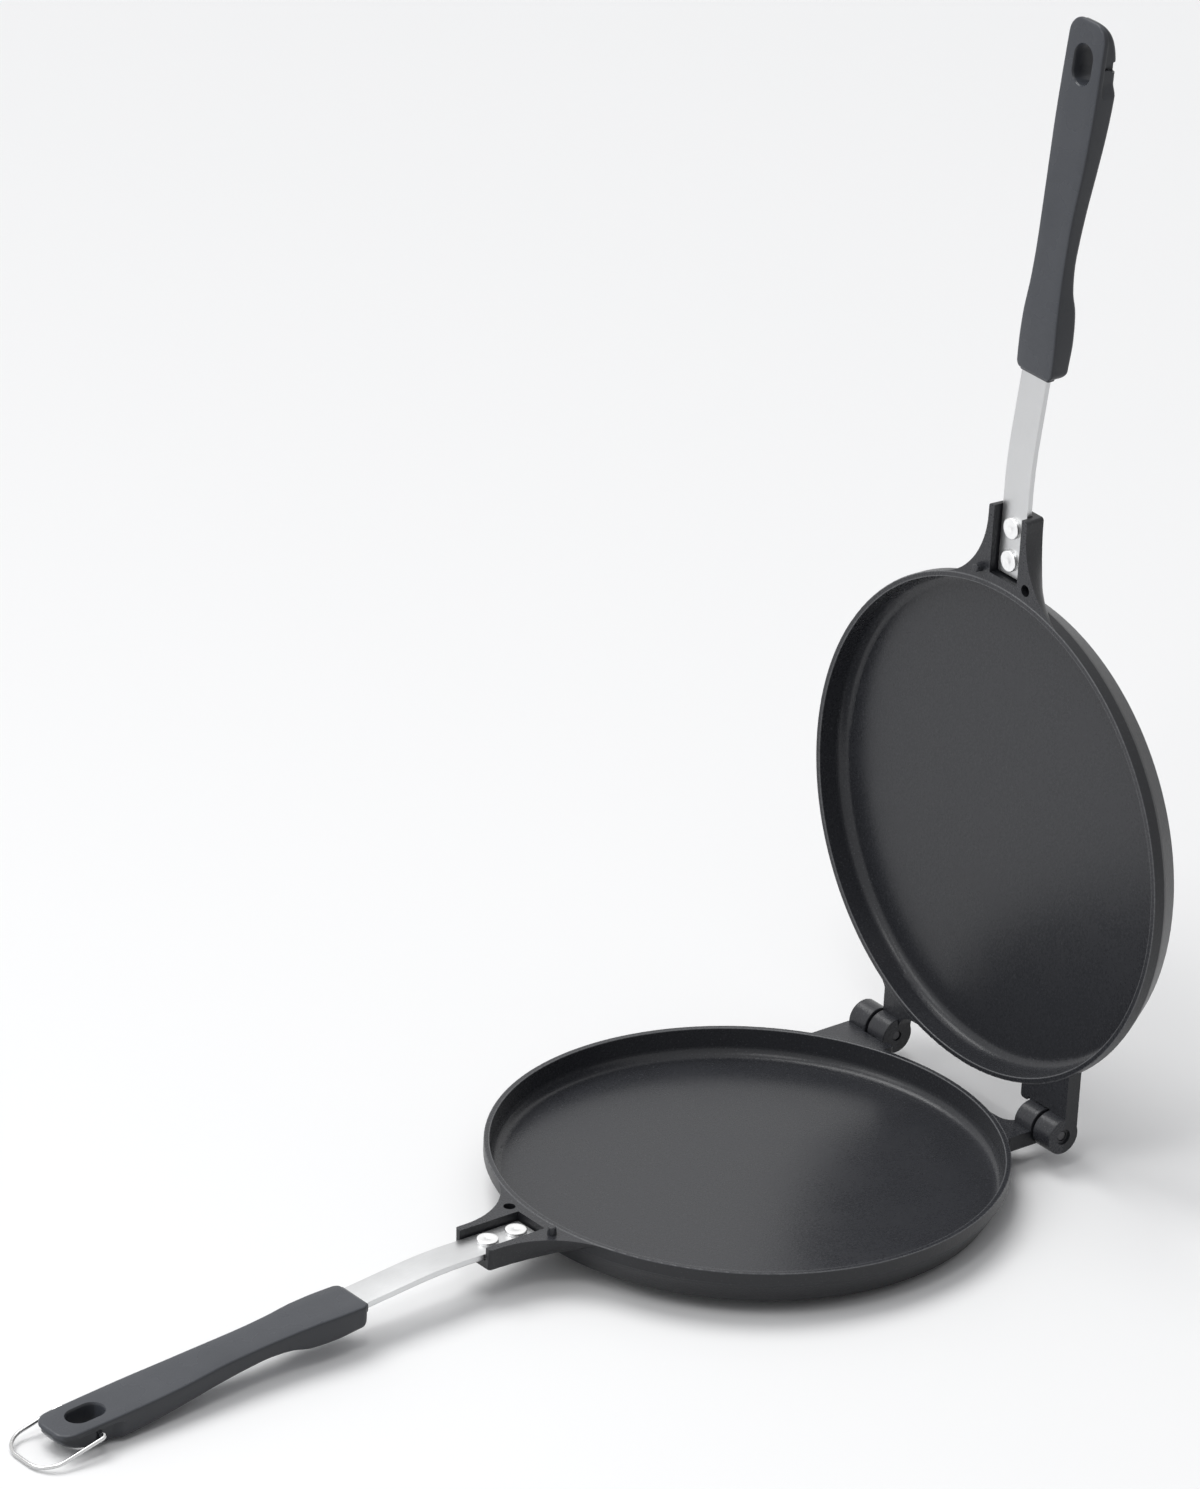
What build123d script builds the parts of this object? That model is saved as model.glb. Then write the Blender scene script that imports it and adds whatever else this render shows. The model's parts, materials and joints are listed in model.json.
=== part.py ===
from build123d import *
import math
import os

os.makedirs("parts", exist_ok=True)

# All sizes are millimetres and angles are degrees.
# Every piece is drawn in the lower pan's own frame: the origin is the centre
# of its flat underside, +X runs from the fork to the hinge, +Z is up.
# At the end everything is leaned by the small angle at which the pan rests.

# Pan casting
RIM_R = 125.0
RIM_LAND = 2.8
RIM_EDGE_R = 0.5
RIM_BAND_H = 6.0
PART_PLANE_Z = 18.6
FLOOR_T = 4.0
INNER_FILLET_R = 5.5
INNER_TOP_R = RIM_R - RIM_LAND
INNER_DRAFT = 0.8
INNER_LOW_R = INNER_TOP_R - INNER_DRAFT
BASE_INSET = 7.4
BASE_R = RIM_R - BASE_INSET
BASE_EDGE_R = 1.2
WALL_BREAK_Z = 11.0
WALL_BREAK_IN = 0.8
WALL_BREAK_R = RIM_R - WALL_BREAK_IN

# Hinge eyes and lugs, shared by both castings
HINGE_OUT = 7.0
HINGE_X = RIM_R + HINGE_OUT
EYE_R = 9.0
EYE_LEN = 12.1
EYE_GAP = 1.8
EYE_EDGE_R = 0.6
EAR_Y = 75.3
EYE_A = (EAR_Y - EYE_LEN, EAR_Y)
EYE_B = (-(EYE_A[0] - EYE_GAP), -(EYE_A[0] - EYE_GAP - EYE_LEN))
LUG_T = 8.0
LUG_DROP = 0.3
LUG_ROOT_X = INNER_TOP_R + 1.2
WEB_GAP = 0.7
WEB_END_X = HINGE_X - EYE_R - WEB_GAP
TAB_W = 5.2
TAB_LEN = 2.0
TAB_Y_OUT = -EYE_B[1] - 1.8
TAB_Y_IN = TAB_Y_OUT - TAB_W
TAB_CORNER_R = 1.8
LUG_A_ROOT_R = 2.0
LUG_B_ROOT_R = 8.0
LUG_B_OUTER_R = 3.0
OPEN_DEG = 91.2
STOP_W = 4.6
STOP_GAP = 0.1
STOP_LOW = 3.0
STOP_NEAR = 0.6
STOP_FAR = 8.0
STOP_CORNER_R = 2.0

# Fork that carries the tang
FORK_LEN = 39.0
FORK_END_X = -(RIM_R + FORK_LEN)
FORK_TIP_HALF = 13.8
FORK_BLEND_R = 43.0
FORK_LOW_HALF = 13.2
FORK_LOW_ROOT_HALF = 18.0
FORK_CORNER_R = 1.6
FORK_UNDER_Z = 7.5
FORK_EDGE_R = 0.7
CHANNEL_HALF = 10.0
CHANNEL_LAND = 4.5
CHANNEL_END_X = -(RIM_R + CHANNEL_LAND)
CHANNEL_FLOOR_Z = 11.3

# Peg and hole that line the two pans up when shut
PEG_OUT = 5.0
PEG_X = -(RIM_R + PEG_OUT)
PEG_Y = 16.2
PEG_BASE_R = 2.3
PEG_TIP_R = 1.9
PEG_HEIGHT = 3.9
HOLE_R = 2.9
HOLE_DEPTH = 5.0

# Hinge pins
PIN_R = 2.5
PIN_PRESS = 0.01
PIN_RUN = 0.05
PIN_INSET = 1.4
COUNTERBORE_R = 4.0
COUNTERBORE_DEPTH = 1.2

# Steel tang
TANG_W = 18.0
TANG_T = 3.0
TANG_END_GAP = 1.1
TANG_INNER_X = CHANNEL_END_X - TANG_END_GAP
TANG_BEND_OUT = 63.0
TANG_BEND_X = -(RIM_R + TANG_BEND_OUT)
TANG_BEND_R = 260.0
TANG_DROP_DEG = 6.6
TANG_TAIL_OUT = 205.0
TANG_TAIL_X = -(RIM_R + TANG_TAIL_OUT)
TANG_TAIL_W = 13.0
TANG_NECK_IN = 7.0
TANG_NECK_LEN = 6.0
TANG_EDGE = 0.6

# Rivets
RIVET_OUT = 13.5
RIVET_PITCH = 16.7
RIVET_XS = (-(RIM_R + RIVET_OUT + RIVET_PITCH), -(RIM_R + RIVET_OUT))
RIVET_SHANK_R = 2.5
RIVET_HEAD_R = 5.35
RIVET_HEAD_H = 2.1
RIVET_CROWN_R = 0.6
RIVET_DIMPLE_R = 1.6
RIVET_DIMPLE_DEPTH = 0.25
RIVET_TAIL_R = 4.2
RIVET_TAIL_H = 1.5
RIVET_CLEAR = 0.1

# Handle sections: distance from the pan end, half width, top z, under z
HANDLE_OUT = 108.0
HANDLE_START_X = -(RIM_R + HANDLE_OUT)
HANDLE_SECTIONS = (
    (0.0, 12.7, 10.1, 3.4),
    (3.0, 12.9, 10.0, 1.2),
    (8.0, 12.95, 9.8, -0.6),
    (17.0, 12.9, 9.4, -2.7),
    (29.0, 12.3, 8.7, -3.8),
    (42.0, 11.3, 7.2, -3.5),
    (55.0, 10.85, 5.8, -3.6),
    (67.0, 10.85, 4.6, -5.1),
    (83.0, 11.3, 2.9, -7.7),
    (102.0, 12.4, 0.4, -11.4),
    (122.0, 13.2, -1.8, -15.2),
    (141.0, 13.3, -3.8, -18.3),
    (157.0, 13.1, -5.4, -19.3),
    (179.0, 12.6, -7.6, -19.6),
)
HANDLE_TOP_R = 1.7
HANDLE_UNDER_R = 2.6
HANDLE_UNDER_CROWN = 0.9
HANDLE_LEN = 174.0
HANDLE_TIP_X = HANDLE_START_X - HANDLE_LEN
HANDLE_TIP_R = 14.5
NOSE_LEN = 18.0
NOSE_START_X = HANDLE_TIP_X + NOSE_LEN
NOSE_START_Z = -19.4
NOSE_TOP_Z = -6.2
SCOOP_LEN = 36.0
SCOOP_START_X = HANDLE_TIP_X + SCOOP_LEN
SCOOP_RAMP = 5.0
SCOOP_HALF = 11.3
SCOOP_DEPTH = 1.9
SCOOP_BELOW_TOP = 4.0
SCOOP_CORNER_R = 8.0
HANG_SLOT_BACK = 21.4
HANG_SLOT_X = HANDLE_TIP_X + HANG_SLOT_BACK
HANG_SLOT_LEN = 20.5
HANG_SLOT_W = 12.6
HANG_SLOT_LIP_R = 1.2
NOSE_SLOPE_DEG = 5.7
TANG_POCKET_CLEAR = 0.1
COLLAR_W = 21.5
COLLAR_H = 5.6
COLLAR_OUT = 1.6

# Wire bail in the lower handle
BAIL_BACK = 21.0
BAIL_X = HANDLE_TIP_X + BAIL_BACK
BAIL_Z = -9.0
WIRE_R = 1.0
BAIL_RUN = 0.05
BAIL_MOUTH_W = 1.7
BAIL_LIP_W = 4.6
BAIL_LIP_H = 2.2
BAIL_INNER_Y = 7.0
BAIL_HALF = 17.35
BAIL_REACH = 35.5
BAIL_SHOULDER_R = 2.4
BAIL_END_R = 12.5
BAIL_SAG_DEG = 15.5

# Handle screw, set into the underside
SCREW_OUT = 85.0
SCREW_X = HANDLE_START_X - SCREW_OUT
SCREW_R = 2.0
SCREW_HEAD_R = 3.6
SCREW_HEAD_H = 2.0
SCREW_CLEAR = 0.15
SCREW_RECESS = 0.8
SCREW_UNDER_Z = -8.0
SCREW_TIP = 0.3


def tilt_y(shape, degrees, x, z):
    """Turn a shape about a line along Y through (x, z)."""
    return Pos(x, 0, z) * Rot(0, degrees, 0) * Pos(-x, 0, -z) * shape


def upright_face(edges):
    """Closed face in the XZ plane from edges drawn in plan."""
    return make_face([Plane.XZ * edge for edge in edges])


def pan_outside():
    """Full disc with the outer wall of the pan, before it is hollowed."""
    outline = Plane.XZ * Polyline(
        (0, 0),
        (BASE_R, 0),
        (WALL_BREAK_R, WALL_BREAK_Z),
        (RIM_R, PART_PLANE_Z - RIM_BAND_H),
        (RIM_R, PART_PLANE_Z),
        (0, PART_PLANE_Z),
        close=True,
    )
    disc = revolve(make_face(outline), Axis.Z)
    rings = disc.edges().filter_by(GeomType.CIRCLE).sort_by(Axis.Z)
    disc = fillet(rings[0], BASE_EDGE_R)
    rings = disc.edges().filter_by(GeomType.CIRCLE).sort_by(Axis.Z)
    return fillet(rings[-1], RIM_EDGE_R)


def pan_hollow():
    """The cooking space, flared at the rim so that its inner edge is eased."""
    low_edge = (INNER_TOP_R, PART_PLANE_Z - RIM_EDGE_R)
    mid = RIM_EDGE_R * (1 - math.sqrt(0.5))
    edges = [
        Line((0, FLOOR_T), (INNER_LOW_R, FLOOR_T)),
        Line((INNER_LOW_R, FLOOR_T), low_edge),
        ThreePointArc(
            low_edge,
            (INNER_TOP_R + mid, PART_PLANE_Z - mid),
            (INNER_TOP_R + RIM_EDGE_R, PART_PLANE_Z),
        ),
        Line((INNER_TOP_R + RIM_EDGE_R, PART_PLANE_Z), (0, PART_PLANE_Z)),
        Line((0, PART_PLANE_Z), (0, FLOOR_T)),
    ]
    space = revolve(upright_face(edges), Axis.Z)
    low = space.edges().filter_by(GeomType.CIRCLE).sort_by(Axis.Z)[0]
    return fillet(low, INNER_FILLET_R)


def rim_x(y):
    """The x of the rim's outer edge on the hinge side at a given y."""
    return math.sqrt(RIM_R ** 2 - y ** 2)


def lug_root_x(y):
    """Where a lug starts, just inside the rim's land."""
    return math.sqrt(LUG_ROOT_X ** 2 - y ** 2)


def lug_plate(corners, rounds):
    """Lug outline in plan with its named corners rounded, made solid."""
    outline = make_face(Polyline(*corners, close=True))
    for index, radius in rounds:
        x, y = corners[index]
        corner = outline.vertices().sort_by_distance((x, y, 0))[0]
        outline = fillet(corner, radius)
    height = LUG_T - LUG_DROP
    return Pos(0, 0, PART_PLANE_Z - LUG_T) * extrude(outline, height)


def lug_a():
    """Lug on the +Y side: ear flush with its outer face, and a short tab."""
    inner_x = lug_root_x(EAR_Y)
    tab_end = WEB_END_X + TAB_LEN
    corners = (
        (inner_x, EAR_Y),
        (HINGE_X, EAR_Y),
        (HINGE_X, EYE_A[0]),
        (WEB_END_X, EYE_A[0]),
        (WEB_END_X, TAB_Y_OUT),
        (tab_end, TAB_Y_OUT),
        (tab_end, TAB_Y_IN),
        (lug_root_x(TAB_Y_IN), TAB_Y_IN),
        (inner_x, TAB_Y_IN),
    )
    rounds = ((5, TAB_LEN * 0.45), (6, TAB_CORNER_R))
    return lug_plate(corners, rounds)


def lug_b():
    """Lug on the -Y side, flush with its eye on both faces."""
    y_out = EYE_B[0]
    y_in = EYE_B[1]
    root_out = LUG_B_OUTER_R * 0.9
    root_in = LUG_B_ROOT_R * 0.9
    inner_x = lug_root_x(y_out - root_out)
    corners = (
        (inner_x, y_out - root_out),
        (rim_x(y_out - root_out) - 0.3, y_out - root_out),
        (rim_x(y_out) + root_out * 0.6, y_out),
        (HINGE_X, y_out),
        (HINGE_X, y_in),
        (rim_x(y_in) + root_in * 0.75, y_in),
        (rim_x(y_in + root_in * 2) - 0.3, y_in + root_in * 2),
        (inner_x, y_in + root_in * 2),
    )
    return lug_plate(corners, ((2, LUG_B_OUTER_R), (5, LUG_B_ROOT_R)))


def stop_heel():
    """Square heel on eye B that meets the other pan's web when open."""
    reach = EYE_R + WEB_GAP - STOP_GAP
    heel = Box(
        STOP_FAR,
        STOP_W,
        reach - STOP_LOW,
        align=(Align.MIN, Align.MAX, Align.MIN),
    )
    heel = Pos(HINGE_X, EYE_B[1], PART_PLANE_Z + STOP_LOW) * heel
    lean = 90.0 - OPEN_DEG
    heel = tilt_y(heel, -lean, HINGE_X, PART_PLANE_Z)
    low = heel.edges().filter_by(Axis.Y).group_by(Axis.X)[-1].sort_by(Axis.Z)
    return fillet(low[0], STOP_CORNER_R)


def hinge_eye(span):
    """One hinge eye across the given Y span, with softened ends."""
    length = span[1] - span[0]
    middle = (span[0] + span[1]) / 2
    eye = Pos(HINGE_X, middle, PART_PLANE_Z) * Rot(90, 0, 0) * Cylinder(EYE_R, length)
    rims = eye.edges().filter_by(GeomType.CIRCLE)
    return fillet(rims, EYE_EDGE_R)


def hinge_bores(bore_r):
    """Pin bores of both eyes and the shallow recess in the ear's face."""
    cuts = []
    for span in (EYE_A, EYE_B):
        middle = (span[0] + span[1]) / 2
        bore = Rot(90, 0, 0) * Cylinder(bore_r, EYE_LEN + 2.0)
        cuts.append(Pos(HINGE_X, middle, PART_PLANE_Z) * bore)
    recess = Rot(90, 0, 0) * Cylinder(COUNTERBORE_R, COUNTERBORE_DEPTH * 2)
    cuts.append(Pos(HINGE_X, EAR_Y, PART_PLANE_Z) * recess)
    return cuts


def fork_top_outline():
    """Top of the fork: straight prongs that sweep into the rim."""
    blend_y = FORK_TIP_HALF + FORK_BLEND_R
    neck_x = -math.sqrt((RIM_R + FORK_BLEND_R) ** 2 - blend_y ** 2)
    share = RIM_R / (RIM_R + FORK_BLEND_R)
    end = (neck_x * share, blend_y * share)
    half_turn = math.atan2(end[0] - neck_x, blend_y - end[1]) / 2
    middle = (
        neck_x + FORK_BLEND_R * math.sin(half_turn),
        blend_y - FORK_BLEND_R * math.cos(half_turn),
    )
    return (FORK_END_X, FORK_TIP_HALF), (neck_x, FORK_TIP_HALF), middle, end


def fork_face(tip, neck, middle, end, inner_x, z):
    """Closed fork outline at a height, mirrored about the centre line."""

    def at(point, side):
        return (point[0], side * point[1], z)

    root = (inner_x, end[1])
    edges = [
        Line(at(tip, 1), at(neck, 1)),
        ThreePointArc(at(neck, 1), at(middle, 1), at(end, 1)),
        Line(at(end, 1), at(root, 1)),
        Line(at(root, 1), at(root, -1)),
        Line(at(root, -1), at(end, -1)),
        ThreePointArc(at(end, -1), at(middle, -1), at(neck, -1)),
        Line(at(neck, -1), at(tip, -1)),
        Line(at(tip, -1), at(tip, 1)),
    ]
    return make_face(edges)


def fork():
    """Fork whose flanks lean in below, with the channel that seats the tang."""
    tip, neck, middle, end = fork_top_outline()
    inner_x = -INNER_TOP_R + 10.0
    top_z = PART_PLANE_Z - LUG_DROP
    upper = fork_face(tip, neck, middle, end, inner_x, top_z)
    low_tip = (tip[0], FORK_LOW_HALF)
    low_neck = (neck[0], FORK_LOW_HALF)
    low_end = (-BASE_R - 3.0, FORK_LOW_ROOT_HALF)
    low_mid = (
        (neck[0] + low_end[0]) / 2,
        FORK_LOW_HALF + (FORK_LOW_ROOT_HALF - FORK_LOW_HALF) * 0.3,
    )
    lower = fork_face(low_tip, low_neck, low_mid, low_end, inner_x, FORK_UNDER_Z)
    body = loft([lower, upper], ruled=True)
    for side in (1, -1):
        tips = body.edges().group_by(Axis.X)[0].sort_by_distance(
            (FORK_END_X, side * FORK_TIP_HALF, PART_PLANE_Z / 2)
        )
        body = fillet(tips[0], FORK_CORNER_R)
    channel = Box(
        FORK_LEN * 2,
        CHANNEL_HALF * 2,
        PART_PLANE_Z,
        align=(Align.MAX, Align.CENTER, Align.MIN),
    )
    return body - Pos(CHANNEL_END_X, 0, CHANNEL_FLOOR_Z) * channel


def rivet_holes():
    """Rivet holes through the fork floor."""
    holes = []
    for x in RIVET_XS:
        drill = Cylinder(RIVET_SHANK_R + RIVET_CLEAR, 30.0)
        holes.append(Pos(x, 0, CHANNEL_FLOOR_Z) * drill)
    return holes


def casting(bore_r):
    """One pan casting: dish, fork, two lugs, four-way hinge eyes and peg."""
    body = pan_outside() + fork() + lug_a() + lug_b()
    body = body + hinge_eye(EYE_A) + hinge_eye(EYE_B) + stop_heel()
    top = PART_PLANE_Z - LUG_DROP
    peg = Cone(PEG_BASE_R, PEG_TIP_R, PEG_HEIGHT, align=(Align.CENTER, Align.CENTER, Align.MIN))
    tip = peg.edges().filter_by(GeomType.CIRCLE).sort_by(Axis.Z)[-1]
    peg = fillet(tip, 0.6)
    body = body + Pos(PEG_X, -PEG_Y, top - 0.01) * peg
    body = body - pan_hollow()
    hole = Cylinder(HOLE_R, HOLE_DEPTH, align=(Align.CENTER, Align.CENTER, Align.MAX))
    body = body - Pos(PEG_X, PEG_Y, top + 0.01) * hole
    for cut in rivet_holes() + hinge_bores(bore_r):
        body = body - cut
    return body.clean()


def tang_path_z(x):
    """Height of the tang's top face at a given x."""
    top = CHANNEL_FLOOR_Z + TANG_T
    bend = math.radians(TANG_DROP_DEG)
    start = TANG_BEND_X + TANG_BEND_R * math.tan(bend / 2)
    end = start - TANG_BEND_R * math.sin(bend)
    if x >= start:
        return top
    if x >= end:
        run = start - x
        return top - (TANG_BEND_R - math.sqrt(TANG_BEND_R ** 2 - run ** 2))
    drop = TANG_BEND_R * (1 - math.cos(bend))
    return top - drop - (end - x) * math.tan(bend)


def tang_side_face(grow=0.0):
    """Side view of the tang between its two ends."""
    top = CHANNEL_FLOOR_Z + TANG_T
    bend = math.radians(TANG_DROP_DEG)
    start = TANG_BEND_X + TANG_BEND_R * math.tan(bend / 2)
    end = start - TANG_BEND_R * math.sin(bend)
    half = bend / 2
    low_r = TANG_BEND_R - TANG_T - grow
    top_r = TANG_BEND_R + grow
    cz = top - TANG_BEND_R

    def on_arc(radius, angle):
        return (start - radius * math.sin(angle), cz + radius * math.cos(angle))

    up_end = on_arc(top_r, bend)
    low_end = on_arc(low_r, bend)
    run = (end - TANG_TAIL_X) + grow
    dx = -run
    dz = -run * math.tan(bend)
    up_tail = (up_end[0] + dx, up_end[1] + dz)
    low_tail = (low_end[0] + dx, low_end[1] + dz)
    inner = TANG_INNER_X + grow
    edges = [
        Line((inner, top + grow), (start, top + grow)),
        ThreePointArc((start, top + grow), on_arc(top_r, half), up_end),
        Line(up_end, up_tail),
        Line(up_tail, low_tail),
        Line(low_tail, low_end),
        ThreePointArc(low_end, on_arc(low_r, half), (start, top - TANG_T - grow)),
        Line((start, top - TANG_T - grow), (inner, top - TANG_T - grow)),
        Line((inner, top - TANG_T - grow), (inner, top + grow)),
    ]
    return upright_face(edges)


def tang_solid(grow=0.0):
    """Bent strip, narrower where it is hidden inside the handle."""
    side = extrude(tang_side_face(grow), TANG_W, both=True)
    wide = TANG_W / 2 + grow
    slim = TANG_TAIL_W / 2 + grow
    neck_x = HANDLE_START_X - TANG_NECK_IN - grow
    plan = make_face(
        Polyline(
            (TANG_INNER_X + grow, wide),
            (neck_x, wide),
            (neck_x - TANG_NECK_LEN, slim),
            (TANG_TAIL_X - grow, slim),
            (TANG_TAIL_X - grow, -slim),
            (neck_x - TANG_NECK_LEN, -slim),
            (neck_x, -wide),
            (TANG_INNER_X + grow, -wide),
            close=True,
        )
    )
    return side & (Pos(0, 0, -40) * extrude(plan, 80))


def tang():
    """The steel strip with its rivet holes, screw hole and eased inner end."""
    body = tang_solid()
    end = body.edges().filter_by(Axis.Y).group_by(Axis.X)[-1].sort_by(Axis.Z)
    body = chamfer(end[-1], TANG_EDGE)
    for x in RIVET_XS:
        body = body - Pos(x, 0, CHANNEL_FLOOR_Z) * Cylinder(RIVET_SHANK_R + RIVET_CLEAR, 20.0)
    drill = Cylinder(SCREW_R + SCREW_CLEAR, 20.0)
    body = body - Pos(SCREW_X, 0, tang_path_z(SCREW_X)) * drill
    return body


def rivet(x):
    """One rivet: domed flat head above the tang, formed tail under the fork."""
    head_low = CHANNEL_FLOOR_Z + TANG_T
    align = (Align.CENTER, Align.CENTER, Align.MIN)
    head = Pos(x, 0, head_low) * Cylinder(RIVET_HEAD_R, RIVET_HEAD_H, align=align)
    crown = head.edges().filter_by(GeomType.CIRCLE).sort_by(Axis.Z)[-1]
    head = fillet(crown, RIVET_CROWN_R)
    dimple = Cylinder(RIVET_DIMPLE_R, RIVET_DIMPLE_DEPTH * 2)
    head = head - Pos(x, 0, head_low + RIVET_HEAD_H) * dimple
    shank_h = head_low - FORK_UNDER_Z
    shank = Pos(x, 0, FORK_UNDER_Z) * Cylinder(RIVET_SHANK_R, shank_h, align=align)
    tail = Pos(x, 0, FORK_UNDER_Z - RIVET_TAIL_H) * Cylinder(RIVET_TAIL_R, RIVET_TAIL_H, align=align)
    low = tail.edges().filter_by(GeomType.CIRCLE).sort_by(Axis.Z)[0]
    tail = fillet(low, 0.9)
    return head + shank + tail


def handle_section(x, half, top, under):
    """Handle cross section at x: flat top, rounded corners, crowned underside."""
    tr = HANDLE_TOP_R
    ur = HANDLE_UNDER_R
    crown = HANDLE_UNDER_CROWN
    k = math.sqrt(0.5)
    base = under + crown
    edges = [
        Line((-half + tr, top), (half - tr, top)),
        ThreePointArc(
            (half - tr, top),
            (half - tr + tr * k, top - tr + tr * k),
            (half, top - tr),
        ),
        Line((half, top - tr), (half, base + ur)),
        ThreePointArc(
            (half, base + ur),
            (half - ur + ur * k, base + ur - ur * k),
            (half - ur, base),
        ),
        ThreePointArc((half - ur, base), (0, under), (-half + ur, base)),
        ThreePointArc(
            (-half + ur, base),
            (-half + ur - ur * k, base + ur - ur * k),
            (-half, base + ur),
        ),
        Line((-half, base + ur), (-half, top - tr)),
        ThreePointArc(
            (-half, top - tr),
            (-half + tr - tr * k, top - tr + tr * k),
            (-half + tr, top),
        ),
    ]
    frame = Plane(origin=(HANDLE_START_X - x, 0, 0), x_dir=(0, 1, 0), z_dir=(1, 0, 0))
    return frame * make_face(edges)


def handle_top_z(x):
    """Height of the handle's top face at x, between the sections."""
    along = HANDLE_START_X - x
    for near, far in zip(HANDLE_SECTIONS, HANDLE_SECTIONS[1:]):
        if near[0] <= along <= far[0]:
            t = (along - near[0]) / (far[0] - near[0])
            return near[2] + (far[2] - near[2]) * t
    return HANDLE_SECTIONS[-1][2]


def nose_keep():
    """What the rounded tip keeps, seen in plan."""
    half = HANDLE_TIP_R + 1.5
    body = Box(
        HANDLE_LEN + 6.0,
        half * 2,
        80.0,
        align=(Align.MIN, Align.CENTER, Align.CENTER),
    )
    body = Pos(HANDLE_TIP_X, 0, 0) * body
    tips = body.edges().filter_by(Axis.Z).group_by(Axis.X)[0]
    return fillet(tips, HANDLE_TIP_R)


def nose_under_cut():
    """Takes the underside up to the tip in one round sweep."""
    start = (NOSE_START_X, NOSE_START_Z)
    rise = NOSE_TOP_Z - NOSE_START_Z
    end = (HANDLE_TIP_X - 3.0, NOSE_TOP_Z)
    far_x = HANDLE_TIP_X - 12.0
    low_z = NOSE_START_Z - 8.0
    edges = [
        Spline(
            start,
            (HANDLE_TIP_X + NOSE_LEN * 0.47, NOSE_START_Z + rise * 0.16),
            (HANDLE_TIP_X + NOSE_LEN * 0.13, NOSE_START_Z + rise * 0.52),
            end,
            tangents=((-1, 0, 0), (-0.25, 1, 0)),
        ),
        Line(end, (far_x, NOSE_TOP_Z)),
        Line((far_x, NOSE_TOP_Z), (far_x, low_z)),
        Line((far_x, low_z), (NOSE_START_X, low_z)),
        Line((NOSE_START_X, low_z), start),
    ]
    return extrude(upright_face(edges), 20.0, both=True)


def scoop_cut(side):
    """Shallow inset in one side of the nose, under its top rim."""
    top = handle_top_z(HANG_SLOT_X) - SCOOP_BELOW_TOP
    outer = HANDLE_TIP_R + 4.0
    inner = SCOOP_HALF
    turn_x = HANDLE_TIP_X + HANDLE_TIP_R
    outline = make_face(
        Polyline(
            (SCOOP_START_X, side * outer),
            (SCOOP_START_X, side * (inner + SCOOP_DEPTH)),
            (SCOOP_START_X - SCOOP_RAMP, side * inner),
            (turn_x, side * inner),
            (HANDLE_TIP_X + SCOOP_DEPTH, side * 2.0),
            (HANDLE_TIP_X - 4.0, side * 2.0),
            (HANDLE_TIP_X - 4.0, side * outer),
            close=True,
        )
    )
    corner = outline.vertices().sort_by_distance((turn_x, side * inner, 0))[0]
    outline = fillet(corner, SCOOP_CORNER_R)
    tool = Pos(0, 0, top - 30.0) * extrude(outline, 30.0)
    return tilt_y(tool, -NOSE_SLOPE_DEG, HANG_SLOT_X, top)


def hang_slot():
    """Slot through the tip, with an eased lip on the top face."""
    top = handle_top_z(HANG_SLOT_X)
    straight = HANG_SLOT_LEN - HANG_SLOT_W
    outline = SlotCenterToCenter(straight, HANG_SLOT_W)
    cut = Pos(HANG_SLOT_X, 0, -40) * extrude(outline, 80)
    lip = SlotCenterToCenter(straight, HANG_SLOT_W + 2 * HANG_SLOT_LIP_R)
    wide = Pos(0, 0, -HANG_SLOT_LIP_R) * extrude(lip, 6.0, taper=0.0)
    low = wide.edges().group_by(Axis.Z)[0]
    wide = chamfer(low, HANG_SLOT_LIP_R * 0.98)
    lip_cut = Pos(HANG_SLOT_X, 0, top + 0.35) * Rot(0, -NOSE_SLOPE_DEG, 0) * wide
    return [cut, lip_cut]


def bail_seat():
    """Round seats for the wire with a narrow mouth from the underside."""
    seat = Pos(BAIL_X, 0, BAIL_Z) * Rot(90, 0, 0) * Cylinder(WIRE_R + BAIL_RUN, 40.0)
    mouth = Box(
        BAIL_MOUTH_W,
        40.0,
        20.0,
        align=(Align.CENTER, Align.CENTER, Align.MAX),
    )
    mouth = Pos(BAIL_X, 0, BAIL_Z) * mouth
    lead = Pos(BAIL_X, 0, BAIL_Z - WIRE_R - BAIL_LIP_H) * Box(
        BAIL_LIP_W,
        40.0,
        20.0,
        align=(Align.CENTER, Align.CENTER, Align.MAX),
    )
    mouth_top = lead.edges().filter_by(Axis.Y).group_by(Axis.Z)[-1]
    lead = fillet(mouth_top, 1.4)
    return [seat, mouth, lead]


def tang_pocket():
    """Blind pocket for the tang, open at the pan end."""
    return tang_solid(TANG_POCKET_CLEAR)


def screw_cuts():
    """Recess and hole for the handle screw, from the underside."""
    floor_z = screw_head_top()
    head = Cylinder(
        SCREW_HEAD_R + SCREW_CLEAR,
        30.0,
        align=(Align.CENTER, Align.CENTER, Align.MAX),
    )
    reach = tang_path_z(SCREW_X) - floor_z
    shank = Cylinder(
        SCREW_R + SCREW_CLEAR,
        reach,
        align=(Align.CENTER, Align.CENTER, Align.MIN),
    )
    return [Pos(SCREW_X, 0, floor_z) * head, Pos(SCREW_X, 0, floor_z) * shank]


def screw_head_top():
    """Height of the face that the screw's head pulls against."""
    return SCREW_UNDER_Z + SCREW_RECESS + SCREW_HEAD_H


def collar():
    """Small raised frame on the handle's end face round the tang."""
    face_x = HANDLE_START_X
    mid_z = tang_path_z(face_x) - TANG_T / 2
    plate = Box(
        COLLAR_OUT + 4.0,
        COLLAR_W,
        COLLAR_H,
        align=(Align.MAX, Align.CENTER, Align.CENTER),
    )
    plate = Pos(face_x + COLLAR_OUT, 0, mid_z) * plate
    front = plate.faces().sort_by(Axis.X)[-1].edges()
    return fillet(front, 0.7)


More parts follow.
